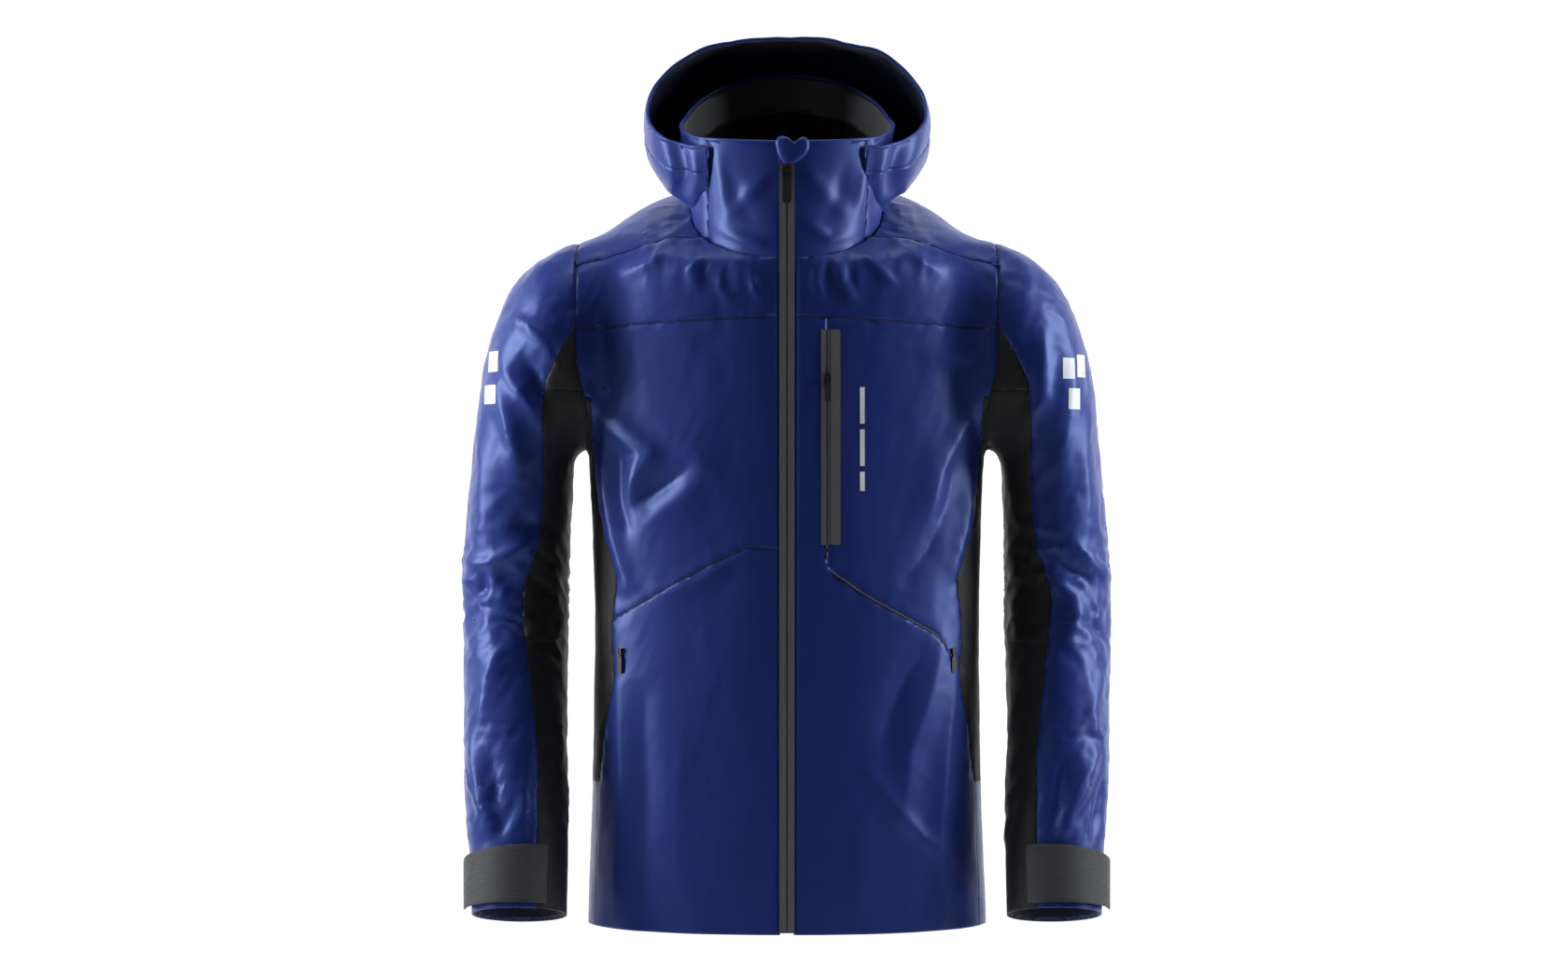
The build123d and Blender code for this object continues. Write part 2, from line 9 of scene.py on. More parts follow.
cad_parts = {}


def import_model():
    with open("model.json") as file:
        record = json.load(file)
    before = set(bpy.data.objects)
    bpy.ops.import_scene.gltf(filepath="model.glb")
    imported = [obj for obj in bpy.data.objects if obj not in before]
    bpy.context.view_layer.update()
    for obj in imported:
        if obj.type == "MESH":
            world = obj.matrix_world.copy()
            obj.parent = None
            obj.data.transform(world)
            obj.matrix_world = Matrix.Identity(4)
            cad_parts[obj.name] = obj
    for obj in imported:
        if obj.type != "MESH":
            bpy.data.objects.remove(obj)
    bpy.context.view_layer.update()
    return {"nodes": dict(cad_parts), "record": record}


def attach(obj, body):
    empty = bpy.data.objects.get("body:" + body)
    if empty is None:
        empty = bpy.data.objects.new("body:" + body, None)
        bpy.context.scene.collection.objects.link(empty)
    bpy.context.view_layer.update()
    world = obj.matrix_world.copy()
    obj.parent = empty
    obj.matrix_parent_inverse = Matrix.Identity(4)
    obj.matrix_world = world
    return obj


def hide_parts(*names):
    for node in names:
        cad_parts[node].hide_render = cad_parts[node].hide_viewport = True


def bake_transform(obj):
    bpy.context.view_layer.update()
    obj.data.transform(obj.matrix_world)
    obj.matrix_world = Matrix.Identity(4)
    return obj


# All lengths below are in millimetres in the shared frame: front -Y, wearer's left +X, up +Z.
MM = 0.001
VOXEL = 4.5               # cell of the remesh that joins the sleeves to the body
FABRIC = 1.5              # shown thickness of the shell fabric
LINING_DEPTH = 3.2        # how far the lining lies inside the shell
HEM_FRONT_Y = -124.0
FRONT_LEAN = 0.022
TILT = math.radians(15.6)  # how far the forearm leans forward
ELBOW = (291.0, 22.0, 352.0)
CUFF_END = 350.0          # distance from elbow to cuff edge
CUFF_TOP = 288.0
ZIP_HALF = 7.0
HEM_BAND = 28.0
HOOD_CENTRE_X = 62        # half the width of the hood's centre panel
COLLAR_SEAM_X = 84        # half the width of the collar's front
TAB_FOLD_X = (0.254, 0.268)  # metres: where the tab's sewn end gives way to the part that peels
TAB_FOLD_YZ = (-0.1129, 0.0585)
CAMERA_AT = (-0.003, -3.6, 0.461)
CAMERA_LENS = 77.1
FLOOR_Z = -0.4

# Body: height at front, height at back, back edge, half width
TORSO = [
    (-30, -30, 124, 214), (0, 0, 124, 213), (140, 140, 120, 208), (340, 340, 117, 206),
    (480, 490, 124, 211), (580, 615, 127, 219), (640, 725, 118, 218), (672, 770, 110, 206),
    (692, 797, 104, 172), (703, 812, 98, 101), (722, 830, 96, 97),
]
# Sleeve: outer x and z, inner x and z, middle y, half depth, forward lean of the section
SLEEVE = [
    (185, 738, 185, 512, 1, 66, 0), (222, 729, 205, 508, 2, 80, 0), (262, 708, 217, 506, 2, 87, 0),
    (297, 670, 225, 499, 4, 86, 0), (323, 602, 230, 486, 8, 83, 0), (336, 500, 231, 464, 13, 78, 0),
    (344, 420, 234, 412, 18, 74, 0), (347, 360, 236, 356, 21, 71, 4), (346, 310, 236, 310, 12, 69, 12),
]
# Forearm: distance below the elbow, outer x, inner x, half depth
FOREARM = [(90, 345, 236, 67), (180, 342, 234, 62), (280, 335, 231, 56), (352, 331, 231, 52),
           (375, 331, 231, 52)]
COLLAR = [(688, 797, 97, 98), (703, 812, 98, 101), (735, 842, 99, 106), (765, 872, 98, 112),
          (845, 962, 97, 120)]
HOOD = [
    (-60, 738, 100, 812, 108), (-84, 758, 138, 834, 132), (-98, 795, 151, 860, 151),
    (-98, 850, 149, 893, 153),
    (-86, 895, 138, 920, 135), (-60, 928, 118, 940, 101), (-22, 945, 92, 948, 58), (10, 949, 60, 950, 22),
    (30, 950, 36, 951, 3),
]

# Seams, as (|x|, z) or (x, z)
CHEST_SEAM = [(0, 642), (60, 640), (222, 631), (400, 631)]
SHOULDER_SEAM = [(0, 738), (79, 733), (98, 728), (122, 728), (148, 721), (190, 707), (223, 699), (400, 690)]
ARMHOLE = [(400, 221), (492, 221), (510, 212), (531, 207), (560, 214), (600, 221), (700, 223), (760, 224)]
SLEEVE_SEAM = [(40, 260), (170, 261), (220, 265), (258, 270), (330, 279), (346, 280), (366, 277), (392, 267),
               (428, 260), (466, 257), (540, 257), (575, 253), (600, 241), (620, 231), (636, 218), (700, 180)]
SIDE_SEAM = [(0, 202), (151, 199), (204, 193), (260, 181), (290, 184), (331, 184), (368, 178), (390, 185),
             (410, 192), (440, 199), (480, 204), (560, 208)]
LEFT_DIAGONAL = [(-300, 322), (-182, 326), (-157, 340), (-119, 362), (-82, 382), (-41, 402),
                 (-8, 399), (0, 398)]
RIGHT_DIAGONAL = [(41, 392), (44, 378), (81, 352), (111, 335), (140, 319), (156, 310), (165, 299), (173, 284),
                  (178, 279), (300, 200)]
POCKET_X = 41.6
SIDE_END = 151.0
GUSSET_END = 566.0
UNDER_SEAM = 300.0
BACK_YOKE = 642.0

# Folds seen from the front: line of (x, z), height, half width across. Heights below zero are valleys.
FOLDS = [
    ([(-208, 556), (-180, 530), (-146, 500), (-158, 476), (-165, 446)], 7.5, 13),
    ([(-108, 480), (-135, 462), (-158, 448)], -6.5, 13),
    ([(-150, 424), (-120, 446), (-96, 470)], 3.0, 22),
    ([(-191, 527), (-194, 477), (-182, 411), (-168, 362)], 4.5, 9),
    ([(-176, 500), (-176, 455), (-168, 420)], -4.0, 9),
    ([(-66, 470), (-100, 500), (-140, 540)], 1.8, 22),
    ([(-176, 255), (-172, 160), (-178, 15)], 4.0, 13),
    ([(-150, 250), (-148, 150), (-152, 15)], -2.6, 14),
    ([(-110, 200), (-116, 110), (-112, 10)], 1.8, 22),
    ([(-60, 385), (-92, 366), (-130, 350)], 2.0, 12),
    ([(-196, 640), (-192, 600), (-190, 560)], 2.4, 8),
    ([(205, 560), (180, 520), (160, 480), (150, 430)], 5.0, 18),
    ([(196, 480), (190, 430), (176, 380)], 4.2, 10),
    ([(176, 500), (170, 450), (150, 400), (128, 372)], -3.2, 12),
    ([(206, 620), (188, 606), (150, 600)], 2.2, 13),
    ([(160, 290), (150, 250), (128, 190), (120, 120)], 4.4, 17),
    ([(178, 262), (168, 200), (160, 100), (164, 10)], 3.4, 12),
    ([(140, 290), (116, 250), (100, 200)], -2.8, 15),
    ([(84, 170), (120, 120), (160, 78), (186, 40)], 2.8, 11),
    ([(70, 120), (74, 60), (70, 8)], 1.6, 20),
    ([(-70, 690), (-70, 672), (-58, 656)], 2.0, 4),
    ([(-92, 708), (-100, 690), (-96, 674)], 2.0, 4),
    ([(-40, 694), (-34, 674), (-22, 656)], 2.6, 5),
    ([(-126, 716), (-140, 700), (-168, 688)], 2.6, 7),
    ([(-82, 704), (-86, 690), (-84, 678)], -1.8, 4),
    ([(52, 694), (58, 676), (70, 656)], 2.8, 6),
    ([(82, 706), (96, 690), (112, 676)], 2.2, 5),
    ([(30, 694), (30, 676), (36, 660)], 2.2, 5),
    ([(120, 716), (140, 700), (160, 690)], 2.4, 7),
    ([(-288, 640), (-268, 630), (-251, 614), (-234, 583)], 5.5, 9),
    ([(-300, 598), (-285, 572), (-272, 556), (-259, 530)], 4.5, 9),
    ([(-304, 569), (-292, 530), (-280, 478)], 5.0, 11),
    ([(-276, 600), (-262, 580), (-256, 560)], -5.0, 9),
    ([(-330, 540), (-322, 480), (-326, 420)], 3.0, 12),
    ([(-348, 386), (-320, 383), (-296, 391), (-270, 408)], 6.0, 9),
    ([(-318, 376), (-323, 353), (-340, 343)], -5.0, 7),
    ([(-342, 326), (-324, 336), (-309, 333), (-278, 320)], -4.5, 7),
    ([(-346, 362), (-330, 366)], 4.0, 7),
    ([(-300, 300), (-316, 260), (-322, 215)], 3.2, 12),
    ([(-330, 195), (-322, 150), (-312, 112)], 5.0, 9),
    ([(-312, 190), (-305, 150), (-296, 90)], -4.0, 11),
    ([(269, 622), (268, 590), (266, 560), (256, 532)], 5.5, 10),
    ([(292, 640), (300, 590), (296, 540), (286, 480)], 3.6, 13),
    ([(322, 560), (314, 500), (318, 430)], 3.0, 12),
    ([(312, 397), (323, 383), (343, 368)], 6.0, 8),
    ([(272, 372), (300, 350), (305, 326), (297, 300)], 5.0, 8),
    ([(322, 322), (338, 302)], -4.5, 7),
    ([(284, 392), (300, 376), (316, 370)], -3.5, 8),
    ([(330, 260), (322, 230), (326, 205)], 3.0, 10),
    ([(322, 180), (306, 150), (292, 120), (276, 64)], 6.0, 9),
    ([(334, 160), (324, 116), (318, 70)], -3.6, 9),
    ([(286, 175), (282, 130), (276, 100)], -3.6, 8),
]
FOLD_GAIN = 1.35
# Sewn pleats on the sleeves' fronts: sharp edged steps, (x, z) from top to cuff
PLEATS = [[(-271, 160), (-272, 66)], [(-336, 170), (-306, 118)]]


def line_points(points):
    return np.array(points, float)


def along(points, value):
    """The curve through (value, result) pairs, straight between them."""
    table = line_points(points)
    return np.interp(value, table[:, 0], table[:, 1])


def smooth_rows(rows, steps):
    """Rows of numbers joined by a smooth curve through every one."""
    rows = np.array(rows, float)
    ends = np.vstack([2 * rows[0] - rows[1], rows, 2 * rows[-1] - rows[-2]])
    result = []
    for i in range(len(rows) - 1):
        a, b, c, d = ends[i:i + 4]
        for t in np.arange(steps) / steps:
            result.append(b + 0.5 * t * (c - a + t * (2 * a - 5 * b + 4 * c - d + t * (3 * (b - c) + d - a))))
    return np.array(result + [rows[-1]])


def ring(middle, half_x, half_y, count, square=2.0):
    """Points round an oval; a higher square makes it flatter at the front and sides."""
    angle = np.linspace(0, 2 * math.pi, count, endpoint=False)
    power = 2 / square
    across = np.sign(np.cos(angle)) * np.abs(np.cos(angle)) ** power
    deep = np.sign(np.sin(angle)) * np.abs(np.sin(angle)) ** power
    return np.array(middle) + np.outer(across, half_x) + np.outer(deep, half_y)


def body_rings(rows, steps, count, inset=0.0, square=2.0):
    rings = []
    for front_z, back_z, back_y, half in smooth_rows(rows, steps):
        front = np.array([0, HEM_FRONT_Y + FRONT_LEAN * front_z, front_z])
        back = np.array([0, back_y, back_z])
        deep = (back - front) / 2
        size = np.linalg.norm(deep)
        rings.append(ring((front + back) / 2, np.array([half - inset, 0, 0]), deep * (size - inset) / size,
                          count, square))
    return rings


def hood_rings(steps, count, inset=0.0):
    rings = []
    for front_y, front_z, back_y, back_z, half in smooth_rows(HOOD, steps):
        front = np.array([0, front_y, front_z])
        back = np.array([0, back_y, back_z])
        deep = (back - front) / 2
        rings.append(ring((front + back) / 2, np.array([half - inset, 0, 0]), deep, count, 2.1))
    return rings


def sleeve_rings(sign, count):
    rows = [list(row) for row in SLEEVE]
    for distance, outer, inner, depth in FOREARM:
        z = ELBOW[2] - math.cos(TILT) * distance
        y = ELBOW[1] - math.sin(TILT) * distance
        rows.append([outer, z, inner, z, y, depth, 15.6])
    rings = []
    for outer_x, outer_z, inner_x, inner_z, y, depth, lean in smooth_rows(rows, 7):
        outer = np.array([outer_x * sign, y, outer_z])
        inner = np.array([inner_x * sign, y, inner_z])
        lean = math.radians(lean)
        deep = np.array([0, math.cos(lean), -math.sin(lean)]) * depth
        rings.append(ring((outer + inner) / 2, (outer - inner) / 2, deep, count))
    return rings


def tube(rings, caps):
    """Points and triangles of a skin over rings."""
    count = len(rings[0])
    points = np.vstack(rings)
    triangles = []
    for row in range(len(rings) - 1):
        for k in range(count):
            a = row * count + k
            b = row * count + (k + 1) % count
            triangles += [(a, b, b + count), (a, b + count, a + count)]
    if caps:
        for start in (0, len(rings) - 1):
            middle = len(points)
            points = np.vstack([points, rings[start].mean(0)])
            for k in range(count):
                triangles.append((start * count + k, start * count + (k + 1) % count, middle))
    return points, np.array(triangles)


def mesh_object(name, points, triangles):
    mesh = bpy.data.meshes.new(name)
    mesh.from_pydata((points * MM).tolist(), [], triangles.tolist())
    mesh.validate()
    shape = bpy.data.objects.new(name, mesh)
    bpy.context.scene.collection.objects.link(shape)
    return shape


def facing_out(shape):
    worker = bmesh.new()
    worker.from_mesh(shape.data)
    bmesh.ops.recalc_face_normals(worker, faces=worker.faces)
    worker.to_mesh(shape.data)
    worker.free()


def evaluated(shape):
    """Points in millimetres and triangles of an object with its modifiers applied."""
    final = shape.evaluated_get(bpy.context.evaluated_depsgraph_get()).to_mesh()
    final.calc_loop_triangles()
    points = np.zeros(len(final.vertices) * 3)
    triangles = np.zeros(len(final.loop_triangles) * 3, np.int32)
    final.vertices.foreach_get("co", points)
    final.loop_triangles.foreach_get("vertices", triangles)
    return points.reshape(-1, 3) / MM, triangles.reshape(-1, 3)


def welded_body():
    """The body and both sleeves as one skin."""
    parts = [tube(body_rings(TORSO, 8, 150, square=2.15), True)]
    parts += [tube(sleeve_rings(sign, 84), True) for sign in (1, -1)]
    shapes = []
    for k, (points, triangles) in enumerate(parts):
        shape = mesh_object(f"part{k}", points, triangles)
        facing_out(shape)
        shapes.append(shape)
    bpy.ops.object.select_all(action="DESELECT")
    for shape in shapes:
        shape.select_set(True)
    bpy.context.view_layer.objects.active = shapes[0]
    bpy.ops.object.join()
    shape = bpy.context.view_layer.objects.active
    remesh = shape.modifiers.new("remesh", "REMESH")
    remesh.mode = "VOXEL"
    remesh.voxel_size = VOXEL * MM
    ease = shape.modifiers.new("ease", "SMOOTH")
    ease.iterations = 7
    ease.factor = 0.5
    points, triangles = evaluated(shape)
    bpy.data.objects.remove(shape)
    near = np.exp(-((np.abs(points[:, 0]) - 196) / 36) ** 2) * np.clip((points[:, 2] - 515) / 60, 0, 1)
    return relaxed(points, triangles, near, 80), triangles


def relaxed(points, triangles, weight, rounds):
    """Points drawn towards the middle of their neighbours, by a weight of each."""
    edges = np.vstack([triangles[:, [0, 1]], triangles[:, [1, 2]], triangles[:, [2, 0]]])
    edges = np.unique(np.sort(edges, axis=1), axis=0)
    count = np.bincount(edges.ravel(), minlength=len(points))[:, None]
    for _ in range(rounds):
        total = np.zeros_like(points)
        for k in range(3):
            total[:, k] = (np.bincount(edges[:, 0], points[edges[:, 1], k], len(points))
                           + np.bincount(edges[:, 1], points[edges[:, 0], k], len(points)))
        points = points + 0.6 * weight[:, None] * (total / count - points)
    return points


def cut(points, triangles, field):
    """Splits the triangles along the line where a field of the points is zero."""
    value = field(points)
    value = np.where(np.abs(value) < 0.02, 0.02, value)
    side = value > 0
    crossing = side[triangles].any(1) & ~side[triangles].all(1)
    kept = triangles[~crossing].tolist()
    added = []
    index = {}

    def middle(a, b):
        key = (a, b) if a < b else (b, a)
        if key not in index:
            share = value[a] / (value[a] - value[b])
            index[key] = len(points) + len(added)
            added.append(points[a] + (points[b] - points[a]) * share)
        return index[key]

    for a, b, c in triangles[crossing].tolist():
        while not (side[a] != side[b] and side[a] != side[c]):
            a, b, c = b, c, a
        ab = middle(a, b)
        ac = middle(a, c)
        kept += [(a, ab, ac), (ab, b, c), (ab, c, ac)]
    return np.vstack([points] + ([np.array(added)] if added else [])), np.array(kept)


def centres(points, triangles):
    return points[triangles].mean(1)


def normals(points, triangles):
    corner = points[triangles]
    face = np.cross(corner[:, 1] - corner[:, 0], corner[:, 2] - corner[:, 0])
    total = np.zeros_like(points)
    for k in range(3):
        np.add.at(total, triangles[:, k], face)
    size = np.linalg.norm(total, axis=1, keepdims=True)
    return total / np.maximum(size, 1e-9)


def distance_to_line(flat, line):
    """Distance of each (x, z) to a line of points, and how far along it the nearest place is, from 0 to 1."""
    line = line_points(line)
    lengths = np.linalg.norm(np.diff(line, axis=0), axis=1)
    best = np.full(len(flat), 1e9)
    place = np.zeros(len(flat))
    done = 0.0
    for a, b, length in zip(line[:-1], line[1:], lengths):
        t = np.clip(((flat - a) @ (b - a)) / length ** 2, 0, 1)
        gap = np.linalg.norm(flat - (a + t[:, None] * (b - a)), axis=1)
        nearer = gap < best
        best = np.where(nearer, gap, best)
        place = np.where(nearer, (done + t * length) / lengths.sum(), place)
        done += length
    return best, place


def chest_field(p):
    return p[:, 2] - along(CHEST_SEAM, np.abs(p[:, 0]))


def shoulder_field(p):
    return p[:, 2] - along(SHOULDER_SEAM, np.abs(p[:, 0]))


def armhole_field(p):
    return np.abs(p[:, 0]) - along(ARMHOLE, p[:, 2])


def sleeve_field(p):
    return np.abs(p[:, 0]) - along(SLEEVE_SEAM, p[:, 2])


def side_field(p):
    return np.abs(p[:, 0]) - along(SIDE_SEAM, p[:, 2])


def left_field(p):
    return p[:, 2] - along(LEFT_DIAGONAL, p[:, 0])


def right_field(p):
    return np.minimum(p[:, 0] - POCKET_X, p[:, 2] - along(RIGHT_DIAGONAL, p[:, 0]))


def neck_field(p):
    front_y = HEM_FRONT_Y + FRONT_LEAN * 703
    return p[:, 2] - 703 - (p[:, 1] - front_y) * 109 / (98 - front_y)


def cuff_distance(p):
    """Distance along the forearm from the elbow's axis."""
    return (ELBOW[2] - p[:, 2]) * math.cos(TILT) + (ELBOW[1] - p[:, 1]) * math.sin(TILT)


def level(height):
    return lambda p: p[:, 2] - height


def noise_at(p, scale, seed):
    """Soft noise, from about -1 to 1, stretched as scale says in x, y and z."""
    spots = p / np.array(scale, float) + seed
    return np.array([noise.noise(Vector(spot)) for spot in spots])


def ridge(distance, width):
    """A fold's section: round at the foot, with a firm crest."""
    return 0.6 * np.exp(-(distance / width) ** 2) + 0.4 * np.exp(-np.abs(distance) / (0.55 * width))


def groove(distance, depth, width):
    return -depth * np.exp(-(distance / width) ** 2)


def displacement(p, n):
    """How far the cloth stands out from its smooth shape."""
    flat = p[:, [0, 2]]
    front = np.clip(-n[:, 1] * 1.8 + 0.1, 0, 1)
    back = np.clip(n[:, 1] * 1.8 + 0.1, 0, 1)
    total = np.zeros(len(p))
    for line, height, width in FOLDS:
        gap, place = distance_to_line(flat, line)
        taper = np.sin(math.pi * np.clip(0.12 + 0.76 * place, 0, 1)) ** 0.8
        total += front * FOLD_GAIN * height * taper * ridge(gap, width)
        # the back gets wider folds along the same lines
        total += back * 1.0 * height * taper * np.exp(-(gap / (1.2 * width)) ** 2)
    for line in PLEATS:
        gap, place = distance_to_line(flat, line)
        inner = flat[:, 0] - np.interp(flat[:, 1], [line[-1][1], line[0][1]], [line[-1][0], line[0][0]])
        total += front * 3.0 * np.sin(math.pi * place) ** 0.5 * np.exp(-(gap / 9) ** 2) * (inner < 0)
    sleeve = armhole_field(p) > 0
    total += np.where(sleeve, 1.6, 1.3) * noise_at(p, (60, 60, 130), 3.1)
    total += np.where(sleeve, 0.9, 0.5) * noise_at(p, (22, 22, 48), 11.7)
    # sharp small wrinkles: at the elbows, the shoulders and below the neck
    ridged = 0.45 - np.abs(noise_at(p + 0.25 * p[:, [2, 0, 1]], (30, 30, 17), 41.3))
    fine = 0.45 - np.abs(noise_at(p - 0.3 * p[:, [2, 1, 0]], (14, 20, 34), 57.9))
    elbow = np.exp(-((p[:, 2] - 352) / 70) ** 2)
    wrist = np.exp(-((p[:, 2] - 110) / 60) ** 2)
    creased = (1.2 + 4.5 * elbow) * ridged + (1.2 + 2.6 * wrist) * fine
    total += np.where(sleeve, creased, 0.45 * ridged + 0.5 * fine)
    neck = np.exp(-((neck_field(p) + 16) / 22) ** 2) * (np.abs(p[:, 0]) < 150) * (p[:, 1] < 30)
    total += 3.2 * neck * (0.4 - np.abs(noise_at(p, (11, 60, 60), 71.0)))
    # soft upright folds round the lower body
    low = np.clip((300 - p[:, 2]) / 300, 0, 1) * (~sleeve)
    total += 3.0 * low * noise_at(p, (46, 90, 400), 7.3)
    # seams draw the cloth in, with small puckers beside them
    seams = [
        (chest_field(p), (p[:, 1] < 0) & ~sleeve, 0.7),
        (shoulder_field(p), (p[:, 1] < 20) & ~sleeve, 0.8),
        (armhole_field(p), p[:, 2] > 500, 1.2),
        (neck_field(p), np.abs(p[:, 0]) < 130, 1.2),
        (sleeve_field(p), sleeve, 0.7),
        (side_field(p), (~sleeve) & (p[:, 2] > SIDE_END) & (p[:, 2] < 500), 0.8),
        (left_field(p), (p[:, 0] < -8) & (p[:, 0] > -186) & (p[:, 1] < 0), 0.7),
        (right_field(p), (p[:, 0] > 20) & (p[:, 0] < 186) & (p[:, 1] < 0) & (p[:, 2] < 636), 0.8),
        (level(BACK_YOKE)(p), (p[:, 1] > 0) & ~sleeve, 0.7),
        (cuff_distance(p) - 158, sleeve, 0.6),
        (cuff_distance(p) - 172, sleeve, 0.6),
    ]
    pucker = noise_at(p, (13, 13, 13), 23.9)
    for distance, where, depth in seams:
        near = np.exp(-(distance / 11) ** 2)
        total += np.where(where, groove(distance, depth, 2.2) + 0.9 * near * pucker, 0)
    # the front edge is held flat by the zip
    zip_near = np.exp(-(p[:, 0] / 22) ** 4) * (p[:, 1] < 0)
    pocket_near = np.exp(-((p[:, 0] - 48) / 12) ** 4) * (p[:, 1] < 0) * (p[:, 2] > 395) * (p[:, 2] < 636)
    total *= 1 - np.maximum(zip_near, 0.85 * pocket_near)
    # the tab presses the cuff flat
    total *= 1 - 0.85 * np.clip((cuff_distance(p) - 268) / 14, 0, 1) * sleeve
    # the front's edge is turned in under the tape
    total -= 2.0 * np.exp(-((np.abs(p[:, 0]) - ZIP_HALF) / 2.0) ** 2) * (p[:, 1] < 0)
    return np.clip(total, -9, 7)


def whole(triangles):
    """A mask that keeps every triangle."""
    return np.ones(len(triangles), bool)


def grid_triangles(rows, columns):
    """The triangles of a grid of points, numbered row by row."""
    triangles = []
    for row in range(rows - 1):
        for k in range(columns - 1):
            a = row * columns + k
            triangles += [(a, a + 1, a + columns + 1), (a, a + columns + 1, a + columns)]
    return np.array(triangles)


def piece(name, points, triangles, keep, slot, body="shell", replaces=(), thickness=FABRIC, blend=None):
    """One panel, from the triangles that a mask keeps."""
    chosen = triangles[keep]
    used, flat = np.unique(chosen, return_inverse=True)
    shape = mesh_object(name, points[used], flat.reshape(-1, 3))
    shape.data.materials.append(MATERIALS[slot])
    shape.data.shade_smooth()
    if thickness:
        solid = shape.modifiers.new("thickness", "SOLIDIFY")
        solid.thickness = thickness * MM
        solid.offset = -1
        solid.use_rim = True
    if blend:
        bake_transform(shape)
    else:
        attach(shape, body)
    if replaces:
        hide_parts(*replaces)
    return shape


# Materials

MATERIALS = {}


def material(name, colour, roughness, sheen=0.0, sheen_colour=(1, 1, 1), specular=0.5, tint=(1, 1, 1)):
    made = bpy.data.materials.new(name)
    made.use_nodes = True
    shader = made.node_tree.nodes["Principled BSDF"]
    shader.inputs["Base Color"].default_value = (*colour, 1)
    shader.inputs["Roughness"].default_value = roughness
    shader.inputs["Specular IOR Level"].default_value = specular
    shader.inputs["Specular Tint"].default_value = (*tint, 1)
    shader.inputs["Sheen Weight"].default_value = sheen
    shader.inputs["Sheen Tint"].default_value = (*sheen_colour, 1)
    MATERIALS[name] = made
    return made, shader


def bump(made, shader, scale, strength, distance, kind="noise", stretch=(1, 1, 1)):
    """Fine relief from a texture in the object's own space."""
    nodes = made.node_tree.nodes
    links = made.node_tree.links
    place = nodes.new("ShaderNodeTexCoord")
    mapping = nodes.new("ShaderNodeMapping")
    mapping.inputs["Scale"].default_value = stretch
    links.new(place.outputs["Object"], mapping.inputs["Vector"])
    if kind == "wave":
        texture = nodes.new("ShaderNodeTexWave")
        texture.bands_direction = "Z"
        texture.inputs["Distortion"].default_value = 0.4
    else:
        texture = nodes.new("ShaderNodeTexNoise")
        texture.inputs["Detail"].default_value = 4
    texture.inputs["Scale"].default_value = scale
    links.new(mapping.outputs["Vector"], texture.inputs["Vector"])
    relief = nodes.new("ShaderNodeBump")
    relief.inputs["Strength"].default_value = strength
    relief.inputs["Distance"].default_value = distance
    links.new(texture.outputs[0], relief.inputs["Height"])
    links.new(relief.outputs["Normal"], shader.inputs["Normal"])


def make_materials():
    made, shader = material("shell_blue", (0.0130, 0.0260, 0.165), 0.40, 0.15, (0.2, 0.35, 1.0), 0.6,
                            (0.35, 0.5, 1.0))
    bump(made, shader, 900, 0.10, 0.0004)
    made, shader = material("stretch_black", (0.010, 0.0095, 0.010), 0.62, 0.12, (0.6, 0.6, 0.65), 0.3)
    bump(made, shader, 1400, 0.16, 0.0004)
    made, shader = material("ribbed_grey", (0.030, 0.030, 0.034), 0.6, 0.1, (0.7, 0.7, 0.75), 0.4)
    bump(made, shader, 170, 0.55, 0.0008, "wave")
    made, shader = material("facing_black", (0.024, 0.023, 0.028), 0.6, 0.2)
    bump(made, shader, 1200, 0.1, 0.0003)
    made, shader = material("fleece_black", (0.008, 0.0075, 0.007), 0.95, 0.5, (0.3, 0.3, 0.3), 0.1)
    bump(made, shader, 500, 0.5, 0.0012)
    made, shader = material("lining_mesh", (0.008, 0.012, 0.050), 0.6, 0.1)
    bump(made, shader, 1600, 0.2, 0.0003)
    # zip tape: its grey is partly the tape's own dark colour and partly a painted sheen; the wave bump gives
    # the coil's ribs
    made, shader = material("zip_tape", (0.085, 0.080, 0.088), 0.38, specular=0.55)
    bump(made, shader, 260, 0.6, 0.0006, "wave")
    material("zip_plastic", (0.012, 0.012, 0.013), 0.35)
    material("puller_rubber", (0.013, 0.013, 0.014), 0.5)
    material("reflective_grey", (0.62, 0.64, 0.68), 0.45)
    material("thread_dark", (0.004, 0.006, 0.035), 0.7)
    material("thread_grey", (0.05, 0.05, 0.05), 0.7)
    material("print_white", (0.75, 0.76, 0.78), 0.5)


# Seam lines and bindings

def chain(points, triangles, field, where):
    """Runs of points along the edges on which a field is zero."""
    value = np.abs(field(points)) < 0.35
    edges = np.vstack([triangles[:, [0, 1]], triangles[:, [1, 2]], triangles[:, [2, 0]]])
    edges = np.unique(np.sort(edges, axis=1), axis=0)
    edges = edges[value[edges].all(1)]
    edges = edges[where(points)[edges].all(1)]
    links = {}
    for a, b in edges.tolist():
        links.setdefault(a, []).append(b)
        links.setdefault(b, []).append(a)
    runs = []
    seen = set()
    starts = [v for v in links if len(links[v]) == 1] + list(links)
    for start in starts:
        if start in seen:
            continue
        run = [start]
        seen.add(start)
        while True:
            ahead = [v for v in links[run[-1]] if v not in seen]
            if not ahead:
                break
            run.append(ahead[0])
            seen.add(ahead[0])
        if len(run) > 6:
            runs.append(run)
    return runs


def even(line, step):
    """The same line with points at an even step, slightly smoothed."""
    line = np.array(line)
    gaps = np.linalg.norm(np.diff(line, axis=0), axis=1)
    place = np.concatenate([[0], np.cumsum(gaps)])
    count = max(3, int(place[-1] / step))
    spots = np.linspace(0, place[-1], count)
    line = np.stack([np.interp(spots, place, line[:, k]) for k in range(3)], 1)
    for _ in range(2):
        line[1:-1] = 0.25 * line[:-2] + 0.5 * line[1:-1] + 0.25 * line[2:]
    return line


